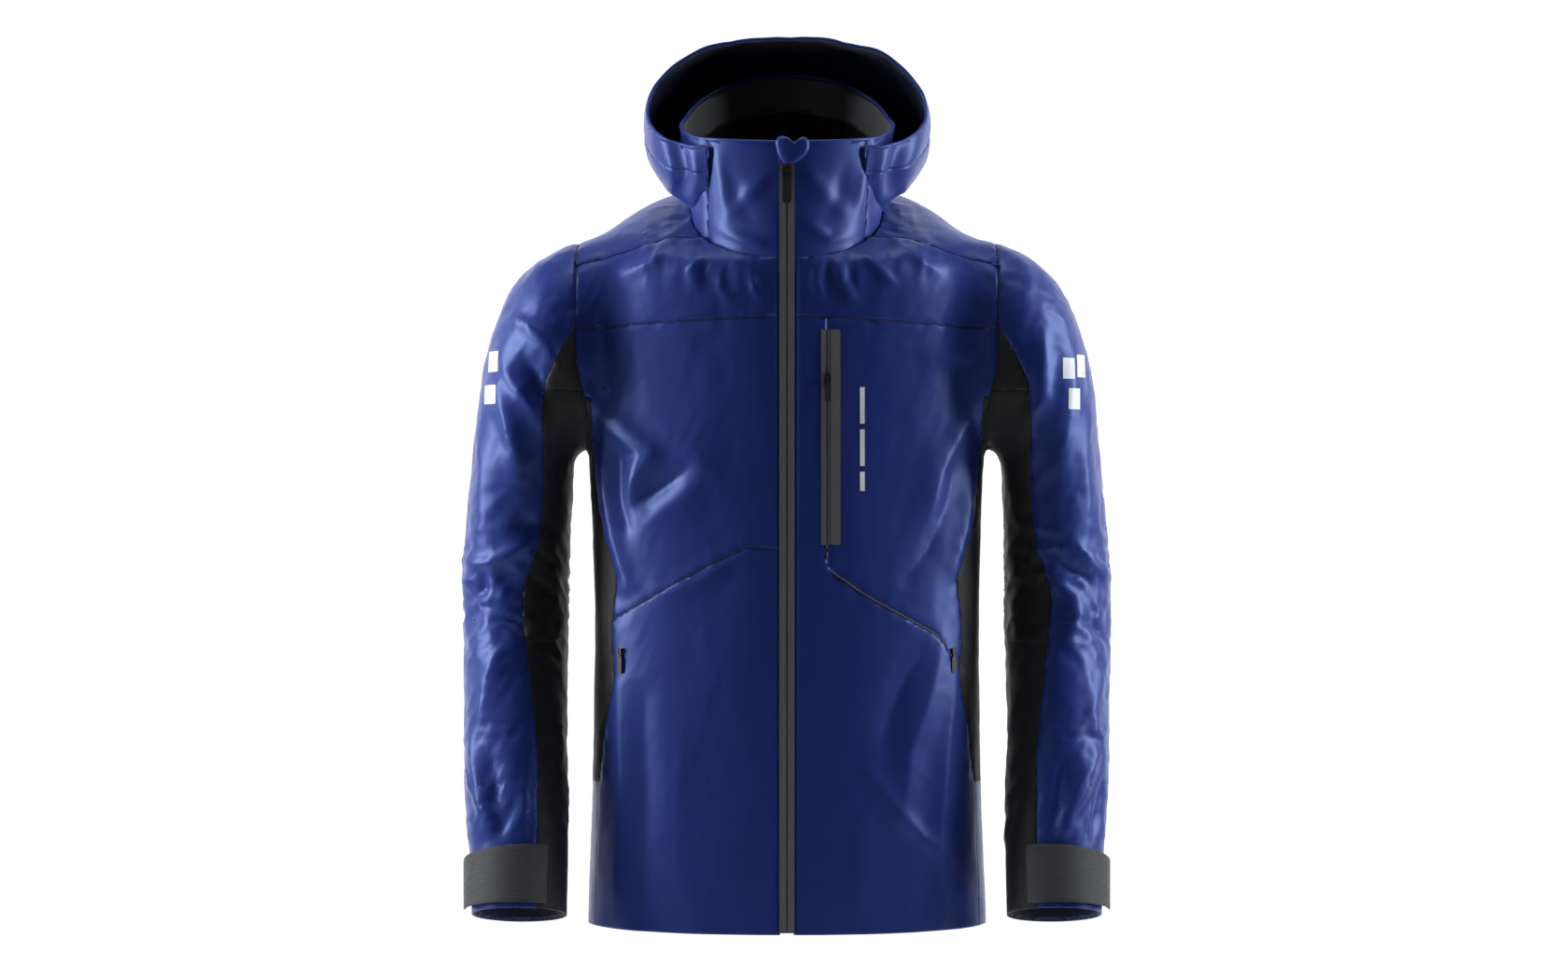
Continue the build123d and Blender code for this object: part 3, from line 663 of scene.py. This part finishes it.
def cords_mesh(name, lines, radius, slot, body="shell", blend=None, flat=1.0, sides=6):
    """Thin round threads or bindings along lines, all in one piece."""
    points = []
    triangles = []
    for line in lines:
        ahead = np.gradient(line, axis=0)
        ahead /= np.linalg.norm(ahead, axis=1, keepdims=True)
        side = np.cross(ahead, np.array([0, 0, 1.0]) + 0.001)
        side /= np.linalg.norm(side, axis=1, keepdims=True)
        other = np.cross(side, ahead)
        base = len(points)
        for spot, u, v in zip(line, side, other):
            for k in range(sides):
                angle = 2 * math.pi * k / sides
                points.append(spot + radius * (math.cos(angle) * u + flat * math.sin(angle) * v))
        for row in range(len(line) - 1):
            for k in range(sides):
                a = base + row * sides + k
                b = base + row * sides + (k + 1) % sides
                triangles += [(a, b, b + sides), (a, b + sides, a + sides)]
    if not points:
        return None
    points = np.array(points)
    triangles = np.array(triangles)
    return piece(name, points, triangles, whole(triangles), slot, body, (), 0, blend)


def main():
    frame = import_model()
    make_materials()
    build_garment()
    build_collar()
    build_hood()
    build_cuffs()
    build_details()
    dress_frame(frame)
    stage_and_light()


ELBOW_START = (0.291, 0.022, 0.425)
ELBOW_STOP = (0.291, 0.010, 0.275)


def elbow_blend(side):
    sign = 1 if side == "left" else -1
    return ("shell", f"forearm_{side}", (sign * ELBOW_START[0],) + ELBOW_START[1:],
            (sign * ELBOW_STOP[0],) + ELBOW_STOP[1:])


def build_garment():
    """The panels of the body and sleeves, with their linings and threads."""
    points, triangles = welded_body()
    fields = [neck_field, level(0), lambda p: cuff_distance(p) - CUFF_END,
              lambda p: cuff_distance(p) - CUFF_TOP, armhole_field, sleeve_field, chest_field,
              shoulder_field, side_field, left_field, right_field,
              level(SIDE_END), level(GUSSET_END), level(UNDER_SEAM), lambda p: np.abs(p[:, 0]) - ZIP_HALF,
              lambda p: p[:, 1] - 0.3, level(HEM_BAND)]
    for field in fields:
        points, triangles = cut(points, triangles, field)
    c = centres(points, triangles)
    sleeve = armhole_field(c) > 0
    neck_hole = (neck_field(c) > 0) & (np.abs(c[:, 0]) < 140)
    gone = (c[:, 2] < 0) & ~sleeve | neck_hole | sleeve & (cuff_distance(c) > CUFF_END)
    gone |= (np.abs(c[:, 0]) < ZIP_HALF) & (c[:, 1] < 0)
    triangles = triangles[~gone]
    rest = points.copy()
    out = normals(points, triangles)
    points = points + out * displacement(rest, out)[:, None]
    c = centres(rest, triangles)
    sleeve = armhole_field(c) > 0
    body = ~sleeve
    front = c[:, 1] < 0.3
    chest = chest_field(c) > 0
    above = shoulder_field(c) > 0
    side = body & (side_field(c) > 0) & (c[:, 2] < 560) & (np.abs(c[:, 0]) > 150)
    side_low = side & (c[:, 2] < SIDE_END)
    side = side & ~side_low
    yoke = body & ~side & ((front & above) | (~front & (c[:, 2] > BACK_YOKE)))
    back = body & ~front & ~yoke & ~side & ~side_low
    rest_front = body & front & ~yoke & ~side & ~side_low
    right = c[:, 0] > 0
    front_yoke = rest_front & chest
    upper = np.where(right, right_field(c) > 0, left_field(c) > 0)
    chest_panel = rest_front & ~chest & upper
    lower_front = rest_front & ~chest & ~upper
    black = sleeve & (sleeve_field(c) < 0)
    blue = sleeve & ~black
    low = c[:, 2] < UNDER_SEAM
    gusset = c[:, 2] > GUSSET_END
    piece("back", points, triangles, back, "shell_blue", replaces=("back_panel",))
    piece("yoke", points, triangles, yoke, "shell_blue", replaces=("shoulder_yoke",))
    for name, where in (("left", right), ("right", ~right)):
        bend = elbow_blend(name)
        piece(f"front_yoke_{name}_cloth", points, triangles, front_yoke & where, "shell_blue",
              replaces=(f"front_yoke_{name}",))
        piece(f"chest_{name}", points, triangles, chest_panel & where, "shell_blue",
              replaces=(f"chest_panel_{name}",))
        piece(f"front_{name}", points, triangles, lower_front & where, "shell_blue",
              replaces=(f"lower_front_{name}",))
        piece(f"side_{name}", points, triangles, side & where, "stretch_black",
              replaces=(f"side_panel_{name}",))
        piece(f"side_foot_{name}", points, triangles, side_low & where, "shell_blue",
              replaces=(f"side_hem_{name}",))
        piece(f"sleeve_{name}", points, triangles, blue & where, "shell_blue",
              replaces=(f"upper_sleeve_{name}", f"lower_sleeve_{name}", f"cuff_band_{name}"), blend=bend)
        piece(f"gusset_{name}", points, triangles, black & gusset & where, "stretch_black",
              replaces=(f"underarm_gusset_{name}",))
        piece(f"under_arm_{name}", points, triangles, black & ~gusset & ~low & where, "stretch_black",
              replaces=(f"under_sleeve_{name}",), blend=bend)
        piece(f"under_forearm_{name}", points, triangles, black & low & where, "stretch_black",
              replaces=(f"lower_under_sleeve_{name}",), blend=bend)
    # lining inside, from the same cloth
    out = normals(points, triangles)
    inner = points - out * LINING_DEPTH
    flipped = triangles[:, [0, 2, 1]]
    away = np.abs(c[:, 0]) > ZIP_HALF + 6
    piece("lining", inner, flipped, body & (c[:, 2] > HEM_BAND) & away, "lining_mesh", thickness=0.6,
          replaces=("body_lining",))
    piece("hem_facing", inner, flipped, body & (c[:, 2] < HEM_BAND) & away, "facing_black", thickness=0.6,
          replaces=("hem_band",))
    for name, where in (("left", right), ("right", ~right)):
        piece(f"sleeve_lining_{name}", inner, flipped, sleeve & where & (cuff_distance(c) < CUFF_END - 2),
              "lining_mesh", thickness=0.6, blend=elbow_blend(name))
    stitch(rest, points, triangles)


def stitch(rest, points, triangles):
    """Rows of thread beside the seams."""
    out = normals(points, triangles)

    def lines(field, where, lift=0.15):
        return [even(points[run] + out[run] * lift, 4.0) for run in chain(rest, triangles, field, where)]

    def on_body(p):
        return armhole_field(p) < 2

    seams = lines(chest_field, lambda p: on_body(p) & (p[:, 1] < -5) & (np.abs(p[:, 0]) > ZIP_HALF - 1))
    seams += lines(shoulder_field, lambda p: on_body(p) & (p[:, 1] < -2))
    seams += lines(armhole_field, lambda p: p[:, 2] > 505)
    seams += lines(left_field, lambda p: (p[:, 0] < -7) & (p[:, 0] > -184) & (p[:, 1] < 0))
    cords_mesh("seam_threads", seams, 0.55, "thread_dark")
    piping = lines(right_field, lambda p: (p[:, 0] > 20) & (p[:, 0] < 182) & (p[:, 1] < 0) & (p[:, 2] < 410),
                   0.3)
    cords_mesh("pocket_piping", piping, 1.1, "facing_black")
    side = lines(side_field, lambda p: on_body(p) & (p[:, 2] > SIDE_END) & (p[:, 2] < 500))
    cords_mesh("side_threads", side, 0.5, "thread_dark")


def rim_line(points, triangles, where):
    """The open border of a skin, as runs of points, where a test holds."""
    edges = np.vstack([triangles[:, [0, 1]], triangles[:, [1, 2]], triangles[:, [2, 0]]])
    ordered = np.sort(edges, axis=1)
    unique, counts = np.unique(ordered, axis=0, return_counts=True)
    border = unique[counts == 1]
    border = border[where(points)[border].all(1)]
    links = {}
    for a, b in border.tolist():
        links.setdefault(a, []).append(b)
        links.setdefault(b, []).append(a)
    runs = []
    seen = set()
    for start in [v for v in links if len(links[v]) == 1] + list(links):
        if start in seen:
            continue
        run = [start]
        seen.add(start)
        while True:
            ahead = [v for v in links[run[-1]] if v not in seen]
            if not ahead:
                break
            run.append(ahead[0])
            seen.add(ahead[0])
        if len(run) > 8:
            runs.append(run)
    return runs


COLLAR_TOP = [(-200, 823), (-108, 823), (-60, 832), (20, 860), (98, 917), (130, 930)]
COLLAR_FOLDS = [
    ([(-70, 735), (-44, 722), (-20, 716)], 3.4, 6), ([(-60, 790), (-48, 760), (-34, 735)], -2.6, 9),
    ([(-16, 790), (-40, 770), (-62, 745)], 2.6, 8), ([(14, 800), (40, 770), (66, 745)], 2.6, 9),
    ([(20, 740), (44, 722), (70, 730)], 3.2, 6), ([(60, 800), (56, 770), (40, 745)], -2.4, 9),
    ([(-72, 812), (-66, 780), (-64, 750)], 2.6, 6), ([(86, 806), (80, 780), (74, 750)], 2.6, 6),
]


def collar_cut(p):
    return p[:, 2] - along(COLLAR_TOP, p[:, 1])


def build_collar():
    grid = tube(body_rings(COLLAR, 12, 150), False)
    for inset, name in ((0.0, "outer"), (3.4, "inner")):
        points, triangles = tube(body_rings(COLLAR, 12, 150, inset), False) if inset else grid
        facing_edge = lambda p: collar_cut(p) + 38
        for field in (collar_cut, facing_edge, lambda p: np.abs(p[:, 0]) - ZIP_HALF,
                      lambda p: np.abs(p[:, 0]) - 84, lambda p: p[:, 1] + 0.2):
            points, triangles = cut(points, triangles, field)
        c = centres(points, triangles)
        gone = (collar_cut(c) > 0) | ((np.abs(c[:, 0]) < ZIP_HALF) & (c[:, 1] < 0))
        triangles = triangles[~gone]
        out = normals(points, triangles)
        if out[np.argmin(points[:, 1])][1] > 0:
            triangles = triangles[:, [0, 2, 1]]
            out = -out
        rest = points.copy()
        lift = 1.1 * noise_at(rest, (34, 34, 60), 5.5)
        flat = rest[:, [0, 2]]
        for line, height, width in COLLAR_FOLDS:
            gap, place = distance_to_line(flat, line)
            rise = np.sin(math.pi * (0.1 + 0.8 * place)) * np.exp(-(gap / width) ** 2)
            lift += (rest[:, 1] < 0) * height * rise
        lift += groove(np.abs(rest[:, 0]) - COLLAR_SEAM_X, 1.6, 3) * (rest[:, 1] < 0)
        lift *= 1 - np.exp(-(rest[:, 0] / 20) ** 4) * (rest[:, 1] < 0)
        points = points + out * lift[:, None]
        c = centres(rest, triangles)
        front = (np.abs(c[:, 0]) < COLLAR_SEAM_X) & (c[:, 1] < 0)
        if name == "outer":
            piece("collar_left", points, triangles, front & (c[:, 0] > 0), "shell_blue",
                  replaces=("collar_front_left",))
            piece("collar_right", points, triangles, front & (c[:, 0] < 0), "shell_blue",
                  replaces=("collar_front_right",))
            piece("collar_rear", points, triangles, ~front, "shell_blue", replaces=("collar_back",))
            edge = rim_line(points, triangles, lambda p: p[:, 2] > 800)
            binding = [even(points[run] - out[run] * 1.4, 3) for run in edge]
            cords_mesh("collar_binding", binding, 2.0, "shell_blue")
        else:
            facing = facing_edge(c) > 0
            clear = (np.abs(c[:, 0]) > ZIP_HALF + 6) | (c[:, 1] > 0)
            piece("collar_inside_band", points, triangles, facing & clear, "facing_black", thickness=1.0,
                  replaces=("collar_facing",))
            piece("collar_fleece", points, triangles, ~facing & clear, "fleece_black", thickness=1.0,
                  replaces=("collar_lining",))
            rows = [even(points[run] - out[run] * 1.3, 4)
                    for run in chain(rest, triangles, facing_edge, lambda p: np.abs(p[:, 0]) > 14)]
            cords_mesh("collar_band_thread", rows, 0.5, "thread_grey")


FACE_OPENING = [(-200, 820), (-72, 821), (-52, 829), (-19, 850), (2, 866), (14, 884), (24, 918),
                (28, 960), (29, 1100)]


def face_field(p):
    """Above zero in front of the hood's rim."""
    gap, _ = distance_to_line(p[:, [1, 2]], FACE_OPENING)
    height = np.interp(p[:, 1], [y for y, z in FACE_OPENING], [z for y, z in FACE_OPENING])
    inside = (p[:, 2] > height) & (p[:, 1] < 29)
    return np.where(inside, gap, -gap)


def hood_front(p):
    """Above zero where the collar takes the hood's place."""
    return np.minimum(82 - np.abs(p[:, 0]), -20 - p[:, 1])


HOOD_FOLDS = [
    ([(-140, 850), (-126, 810), (-120, 775)], 4.0, 10), ([(-118, 832), (-108, 800), (-112, 770)], -4.5, 8),
    ([(-100, 815), (-92, 790), (-96, 760)], 4.0, 7), ([(-148, 830), (-140, 800), (-126, 772)], 2.5, 8),
    ([(146, 850), (132, 812), (124, 775)], 4.0, 10), ([(122, 832), (112, 800), (114, 770)], -4.5, 8),
    ([(104, 812), (96, 790), (98, 760)], 4.0, 7), ([(152, 830), (144, 800), (130, 772)], 2.5, 8),
    ([(-96, 745), (-80, 750)], 3, 6), ([(96, 745), (80, 750)], 3, 6),
]


def build_hood():
    points, triangles = tube(hood_rings(10, 170), False)
    rim_band = lambda p: face_field(p) + 26
    for field in (face_field, rim_band, hood_front, lambda p: np.abs(p[:, 0]) - HOOD_CENTRE_X):
        points, triangles = cut(points, triangles, field)
    c = centres(points, triangles)
    triangles = triangles[~((face_field(c) > 0) | (hood_front(c) > 0))]
    out = normals(points, triangles)
    if out[np.argmax(points[:, 1])][1] < 0:
        triangles = triangles[:, [0, 2, 1]]
        out = -out
    rest = points.copy()
    lift = 2.6 * noise_at(rest, (42, 42, 52), 9.1) + 1.1 * noise_at(rest, (17, 17, 24), 2.2)
    flat = rest[:, [0, 2]]
    for line, height, width in HOOD_FOLDS:
        gap, place = distance_to_line(flat, line)
        rise = np.sin(math.pi * (0.1 + 0.8 * place)) * np.exp(-(gap / width) ** 2)
        lift += (rest[:, 1] < 20) * height * rise
    # the nape folds where the hood meets the body
    lift += 3.0 * np.sin(rest[:, 2] / 5.5) * np.exp(-((rest[:, 2] - 835) / 22) ** 2) * (rest[:, 1] > 60)
    lift += groove(np.abs(rest[:, 0]) - HOOD_CENTRE_X, 1.2, 2.4) * (rest[:, 1] > 0)
    lift += groove(rim_band(rest), 0.8, 2.0) * (rest[:, 1] > -30)
    lift = np.clip(lift, -7, 3.0)
    # the front edges lie against the collar
    lift *= 1 - np.exp(-((np.abs(rest[:, 0]) - 82) / 9) ** 2) * (rest[:, 1] < -20)
    points = points + out * lift[:, None]
    # the nape's edge is sewn down onto the yoke
    above_edge = rest[:, 2] - 712 - (rest[:, 1] + 60) * 0.614
    points[:, 2] -= 7 * np.exp(-(above_edge / 12) ** 2) * np.clip((rest[:, 1] - 20) / 40, 0, 1)
    c = centres(rest, triangles)
    bend = ("shell", "hood", (0, 0.085, 0.790), (0, 0.130, 0.900))
    brim = rim_band(c) > 0
    middle = (np.abs(c[:, 0]) < HOOD_CENTRE_X) & ~brim
    sides = ~brim & ~middle
    piece("hood_rim_cloth", points, triangles, brim, "shell_blue", replaces=("hood_brim",), blend=bend)
    piece("hood_middle_cloth", points, triangles, middle, "shell_blue", replaces=("hood_centre",), blend=bend)
    piece("hood_left_cloth", points, triangles, sides & (c[:, 0] > 0), "shell_blue",
          replaces=("hood_side_left", "hood_base"), blend=bend)
    piece("hood_right_cloth", points, triangles, sides & (c[:, 0] < 0), "shell_blue",
          replaces=("hood_side_right",), blend=bend)
    inside = points - out * 2.6
    piece("hood_lining", inside, triangles[:, [0, 2, 1]], whole(triangles), "lining_mesh",
          thickness=0.6, blend=bend)
    runs = rim_line(points, triangles, lambda p: face_field(p) > -12)
    binding = [even(points[run] - out[run] * 1.2, 3) for run in runs]
    cords_mesh("hood_binding", binding, 1.9, "shell_blue", blend=bend)


def build_cuffs():
    """The ribbed tab on each cuff, from the arm's inside round its front to past its outside."""
    for side, sign in (("left", 1), ("right", -1)):
        points = []
        across = 60
        rows = 12
        for row in range(rows + 1):
            for k in range(across + 1):
                share = k / across
                angle = math.radians(-128 + 134 * share)
                slope = 10 * share ** 1.6
                corner = 6 * max(0.0, share - 0.93) / 0.07
                low = 345 - 0.5 * corner
                high = 284 + slope + corner
                distance = high + (low - high) * row / rows
                half = np.interp(distance, [280, 352], [52.5, 50.5])
                depth = np.interp(distance, [280, 352], [57, 52.5])
                grow = 3.2 + 3.4 * share ** 3
                x = 283 * 1.0 + (half + grow) * math.cos(angle)
                deep = (depth + grow) * math.sin(angle)
                y = ELBOW[1] - math.sin(TILT) * distance + math.cos(TILT) * deep
                z = ELBOW[2] - math.cos(TILT) * distance - math.sin(TILT) * deep
                points.append((x * sign, y, z))
        points = np.array(points)
        triangles = grid_triangles(rows + 1, across + 1)
        out = normals(points, triangles)
        if out[0][1] > 0:
            triangles = triangles[:, [0, 2, 1]]
        # the fold between the sewn end on the cuff and the part that peels is given, but no fold is applied
        # here
        fold = [(sign * x,) + TAB_FOLD_YZ for x in TAB_FOLD_X]
        made = piece(f"cuff_tab_{side}_cloth", points, triangles, whole(triangles), "ribbed_grey",
                     replaces=(f"cuff_tab_{side}",), thickness=2.2,
                     blend=(f"forearm_{side}", f"tab_{side}", fold[0], fold[1]))
        edge = made.modifiers.new("edge", "BEVEL")
        edge.width = 0.0006
        edge.segments = 2
        edge.limit_method = "ANGLE"


def on_front():
    """The depth of the shown front surface at (x, z), found by a ray from in front."""
    graph = bpy.context.evaluated_depsgraph_get()

    def depth(x, z):
        start = Vector((x, -400, z)) * MM
        hit, spot, _, _, _, _ = bpy.context.scene.ray_cast(graph, start, Vector((0, 1, 0)))
        return spot.y / MM if hit else -110.0
    return depth


def laid(name, outline_box, slot, body="shell", lift=0.35, blend=None):
    """A small print that follows the cloth: a grid in x and z, dropped onto the surface from the front."""
    low_x, high_x, low_z, high_z = outline_box
    depth = on_front()
    count = 8
    points = []
    for z in np.linspace(low_z, high_z, count):
        for x in np.linspace(low_x, high_x, count):
            points.append((x, depth(x, z) - lift, z))
    triangles = grid_triangles(count, count)
    return piece(name, np.array(points), triangles, whole(triangles), slot, body, (), 0, blend)


# Prints: low and high x, low and high z
REFLECTIVE_BLOCKS = [("right", (-317, -305, 586, 608)), ("right", (-321, -307, 552, 572)),
                     ("left", (290, 303, 578, 600)), ("left", (306, 316, 580, 604)),
                     ("left", (296, 309, 546, 568))]
CHEST_PRINTS = ((530, 568), (486, 524), (460, 480))
FLAP = [(-12, 822), (-11, 828), (-5, 830), (2, 828), (8, 821), (13, 828), (20, 829), (24, 823), (23, 814),
        (17, 806), (8, 800), (-2, 799), (-9, 808)]


def zip_plane_y(z):
    """The depth of the zip's line at a height."""
    return HEM_FRONT_Y + FRONT_LEAN * z


def build_zip_backing():
    """The storm flap behind the main zip, and the flap that covers the parked slider."""
    points = []
    rows, columns, reach = 120, 9, 19
    for z in np.linspace(3, 815, rows):
        for x in np.linspace(-reach, reach, columns):
            sway = 0.7 * math.sin(z / 31) * abs(x) / reach
            points.append((x, zip_plane_y(z) + 8.6 + sway + 0.004 * x * x, z))
    points = np.array(points)
    triangles = grid_triangles(rows, columns)
    piece("storm_flap", points, triangles, whole(triangles), "facing_black", thickness=1.0)
    outline = even([(x, 0, z) for x, z in FLAP + FLAP[:1]], 2.5)[:, [0, 2]]
    middle = outline.mean(0)
    points = [(middle[0], zip_plane_y(middle[1]) - 3.6, middle[1])]
    for share, rise in ((0.45, 3.5), (0.8, 3.0), (1.0, 1.2)):
        for x, z in middle + (outline[:-1] - middle) * share:
            points.append((x, zip_plane_y(z) - rise - 0.5 * math.sin(x / 3.5) * share, z))
    count = len(outline) - 1
    triangles = [(0, 1 + k, 1 + (k + 1) % count) for k in range(count)]
    for row in range(2):
        for k in range(count):
            a = 1 + row * count + k
            b = 1 + row * count + (k + 1) % count
            triangles += [(a, a + count, b + count), (a, b + count, b)]
    points = np.array(points)
    triangles = np.array(triangles)
    if normals(points, triangles)[0][1] > 0:
        triangles = triangles[:, [0, 2, 1]]
    piece("zip_flap", points, triangles, whole(triangles), "shell_blue", replaces=("zip_garage",),
          thickness=1.6)


def build_details():
    """The zip's backing and the plain reflective prints."""
    build_zip_backing()
    bpy.context.view_layer.update()
    for k, (side, outline) in enumerate(REFLECTIVE_BLOCKS):
        laid(f"reflective_block_{k}", outline, "reflective_grey", blend=elbow_blend(side))
    for k, (low, high) in enumerate(CHEST_PRINTS):
        laid(f"chest_print_{k}", (76, 81, low, high), "print_white")


def dress_frame(frame):
    """Better finishes on the CAD parts that stay in sight."""
    finish = {}
    for entry in frame["record"]["subparts"]:
        finish[entry["node"]] = entry["material_slot"]
    for name, node in frame["nodes"].items():
        slot = finish.get(name)
        if slot in MATERIALS:
            for place in node.material_slots:
                place.material = MATERIALS[slot]


def softbox(name, place, target, width, height, power, colour=(1, 1, 1)):
    lamp = bpy.data.lights.new(name, "AREA")
    lamp.shape = "RECTANGLE"
    lamp.size = width
    lamp.size_y = height
    lamp.energy = power
    lamp.color = colour
    made = bpy.data.objects.new(name, lamp)
    made.location = place
    made.rotation_euler = (Vector(target) - Vector(place)).to_track_quat("-Z", "Y").to_euler()
    bpy.context.scene.collection.objects.link(made)


def plain(name, grey, glow):
    """A plain matt finish for the stage."""
    made = bpy.data.materials.new(name)
    made.use_nodes = True
    shader = made.node_tree.nodes["Principled BSDF"]
    shader.inputs["Base Color"].default_value = (grey, grey, grey, 1)
    shader.inputs["Emission Color"].default_value = (1, 1, 1, 1)
    shader.inputs["Emission Strength"].default_value = glow
    return made


def stage_piece(name, shape, finish):
    """A piece of the stage, which is no part of the jacket."""
    mesh = bpy.data.meshes.new(name)
    shape.to_mesh(mesh)
    shape.free()
    mesh.materials.append(finish)
    made = bpy.data.objects.new(name, mesh)
    bpy.context.scene.collection.objects.link(made)
    return made


def stage_and_light():
    scene = bpy.context.scene
    lens = bpy.data.cameras.new("camera")
    lens.sensor_width = 36
    lens.lens = CAMERA_LENS
    camera = bpy.data.objects.new("camera", lens)
    camera.location = CAMERA_AT
    camera.rotation_euler = (math.radians(90), 0, 0)
    scene.collection.objects.link(camera)
    scene.camera = camera
    world = bpy.data.worlds.new("world")
    world.use_nodes = True
    world.node_tree.nodes["Background"].inputs[0].default_value = (1, 1, 1, 1)
    world.node_tree.nodes["Background"].inputs[1].default_value = 0.02
    scene.world = world
    scene.view_settings.view_transform = "Standard"
    white = plain("backdrop_white", 0.9, 1.0)
    wall = bmesh.new()
    bmesh.ops.create_grid(wall, size=1, matrix=Matrix.Diagonal((3, 2.5, 1, 1)))
    reflector = stage_piece("reflector", wall, white)
    reflector.location = (0, 1.6, 0.5)
    reflector.rotation_euler = (math.radians(90), 0, 0)
    reflector.visible_camera = False
    dome = bmesh.new()
    bmesh.ops.create_icosphere(dome, subdivisions=4, radius=12)
    room = stage_piece("backdrop", dome, white)
    room.visible_diffuse = False
    room.visible_glossy = False
    room.visible_shadow = False
    disc = bmesh.new()
    bmesh.ops.create_circle(disc, cap_ends=True, segments=128, radius=2.2)
    floor = stage_piece("floor", disc, plain("floor_pale", 0.8, 0.0))
    floor.location = (0, 0, FLOOR_Z)
    softbox("left_box", (-1.5, -0.16, 0.95), (0, 0, 0.55), 0.45, 1.4, 36, (0.94, 0.97, 1.0))
    softbox("right_box", (1.5, -0.16, 0.95), (0, 0, 0.55), 0.45, 1.4, 30, (0.94, 0.97, 1.0))
    softbox("top_box", (0, -0.1, 2.2), (0, 0, 0.7), 1.2, 0.5, 9)
    softbox("front_left_fill", (-1.3, -1.9, 0.9), (-0.1, 0, 0.5), 0.6, 1.2, 2)


main()
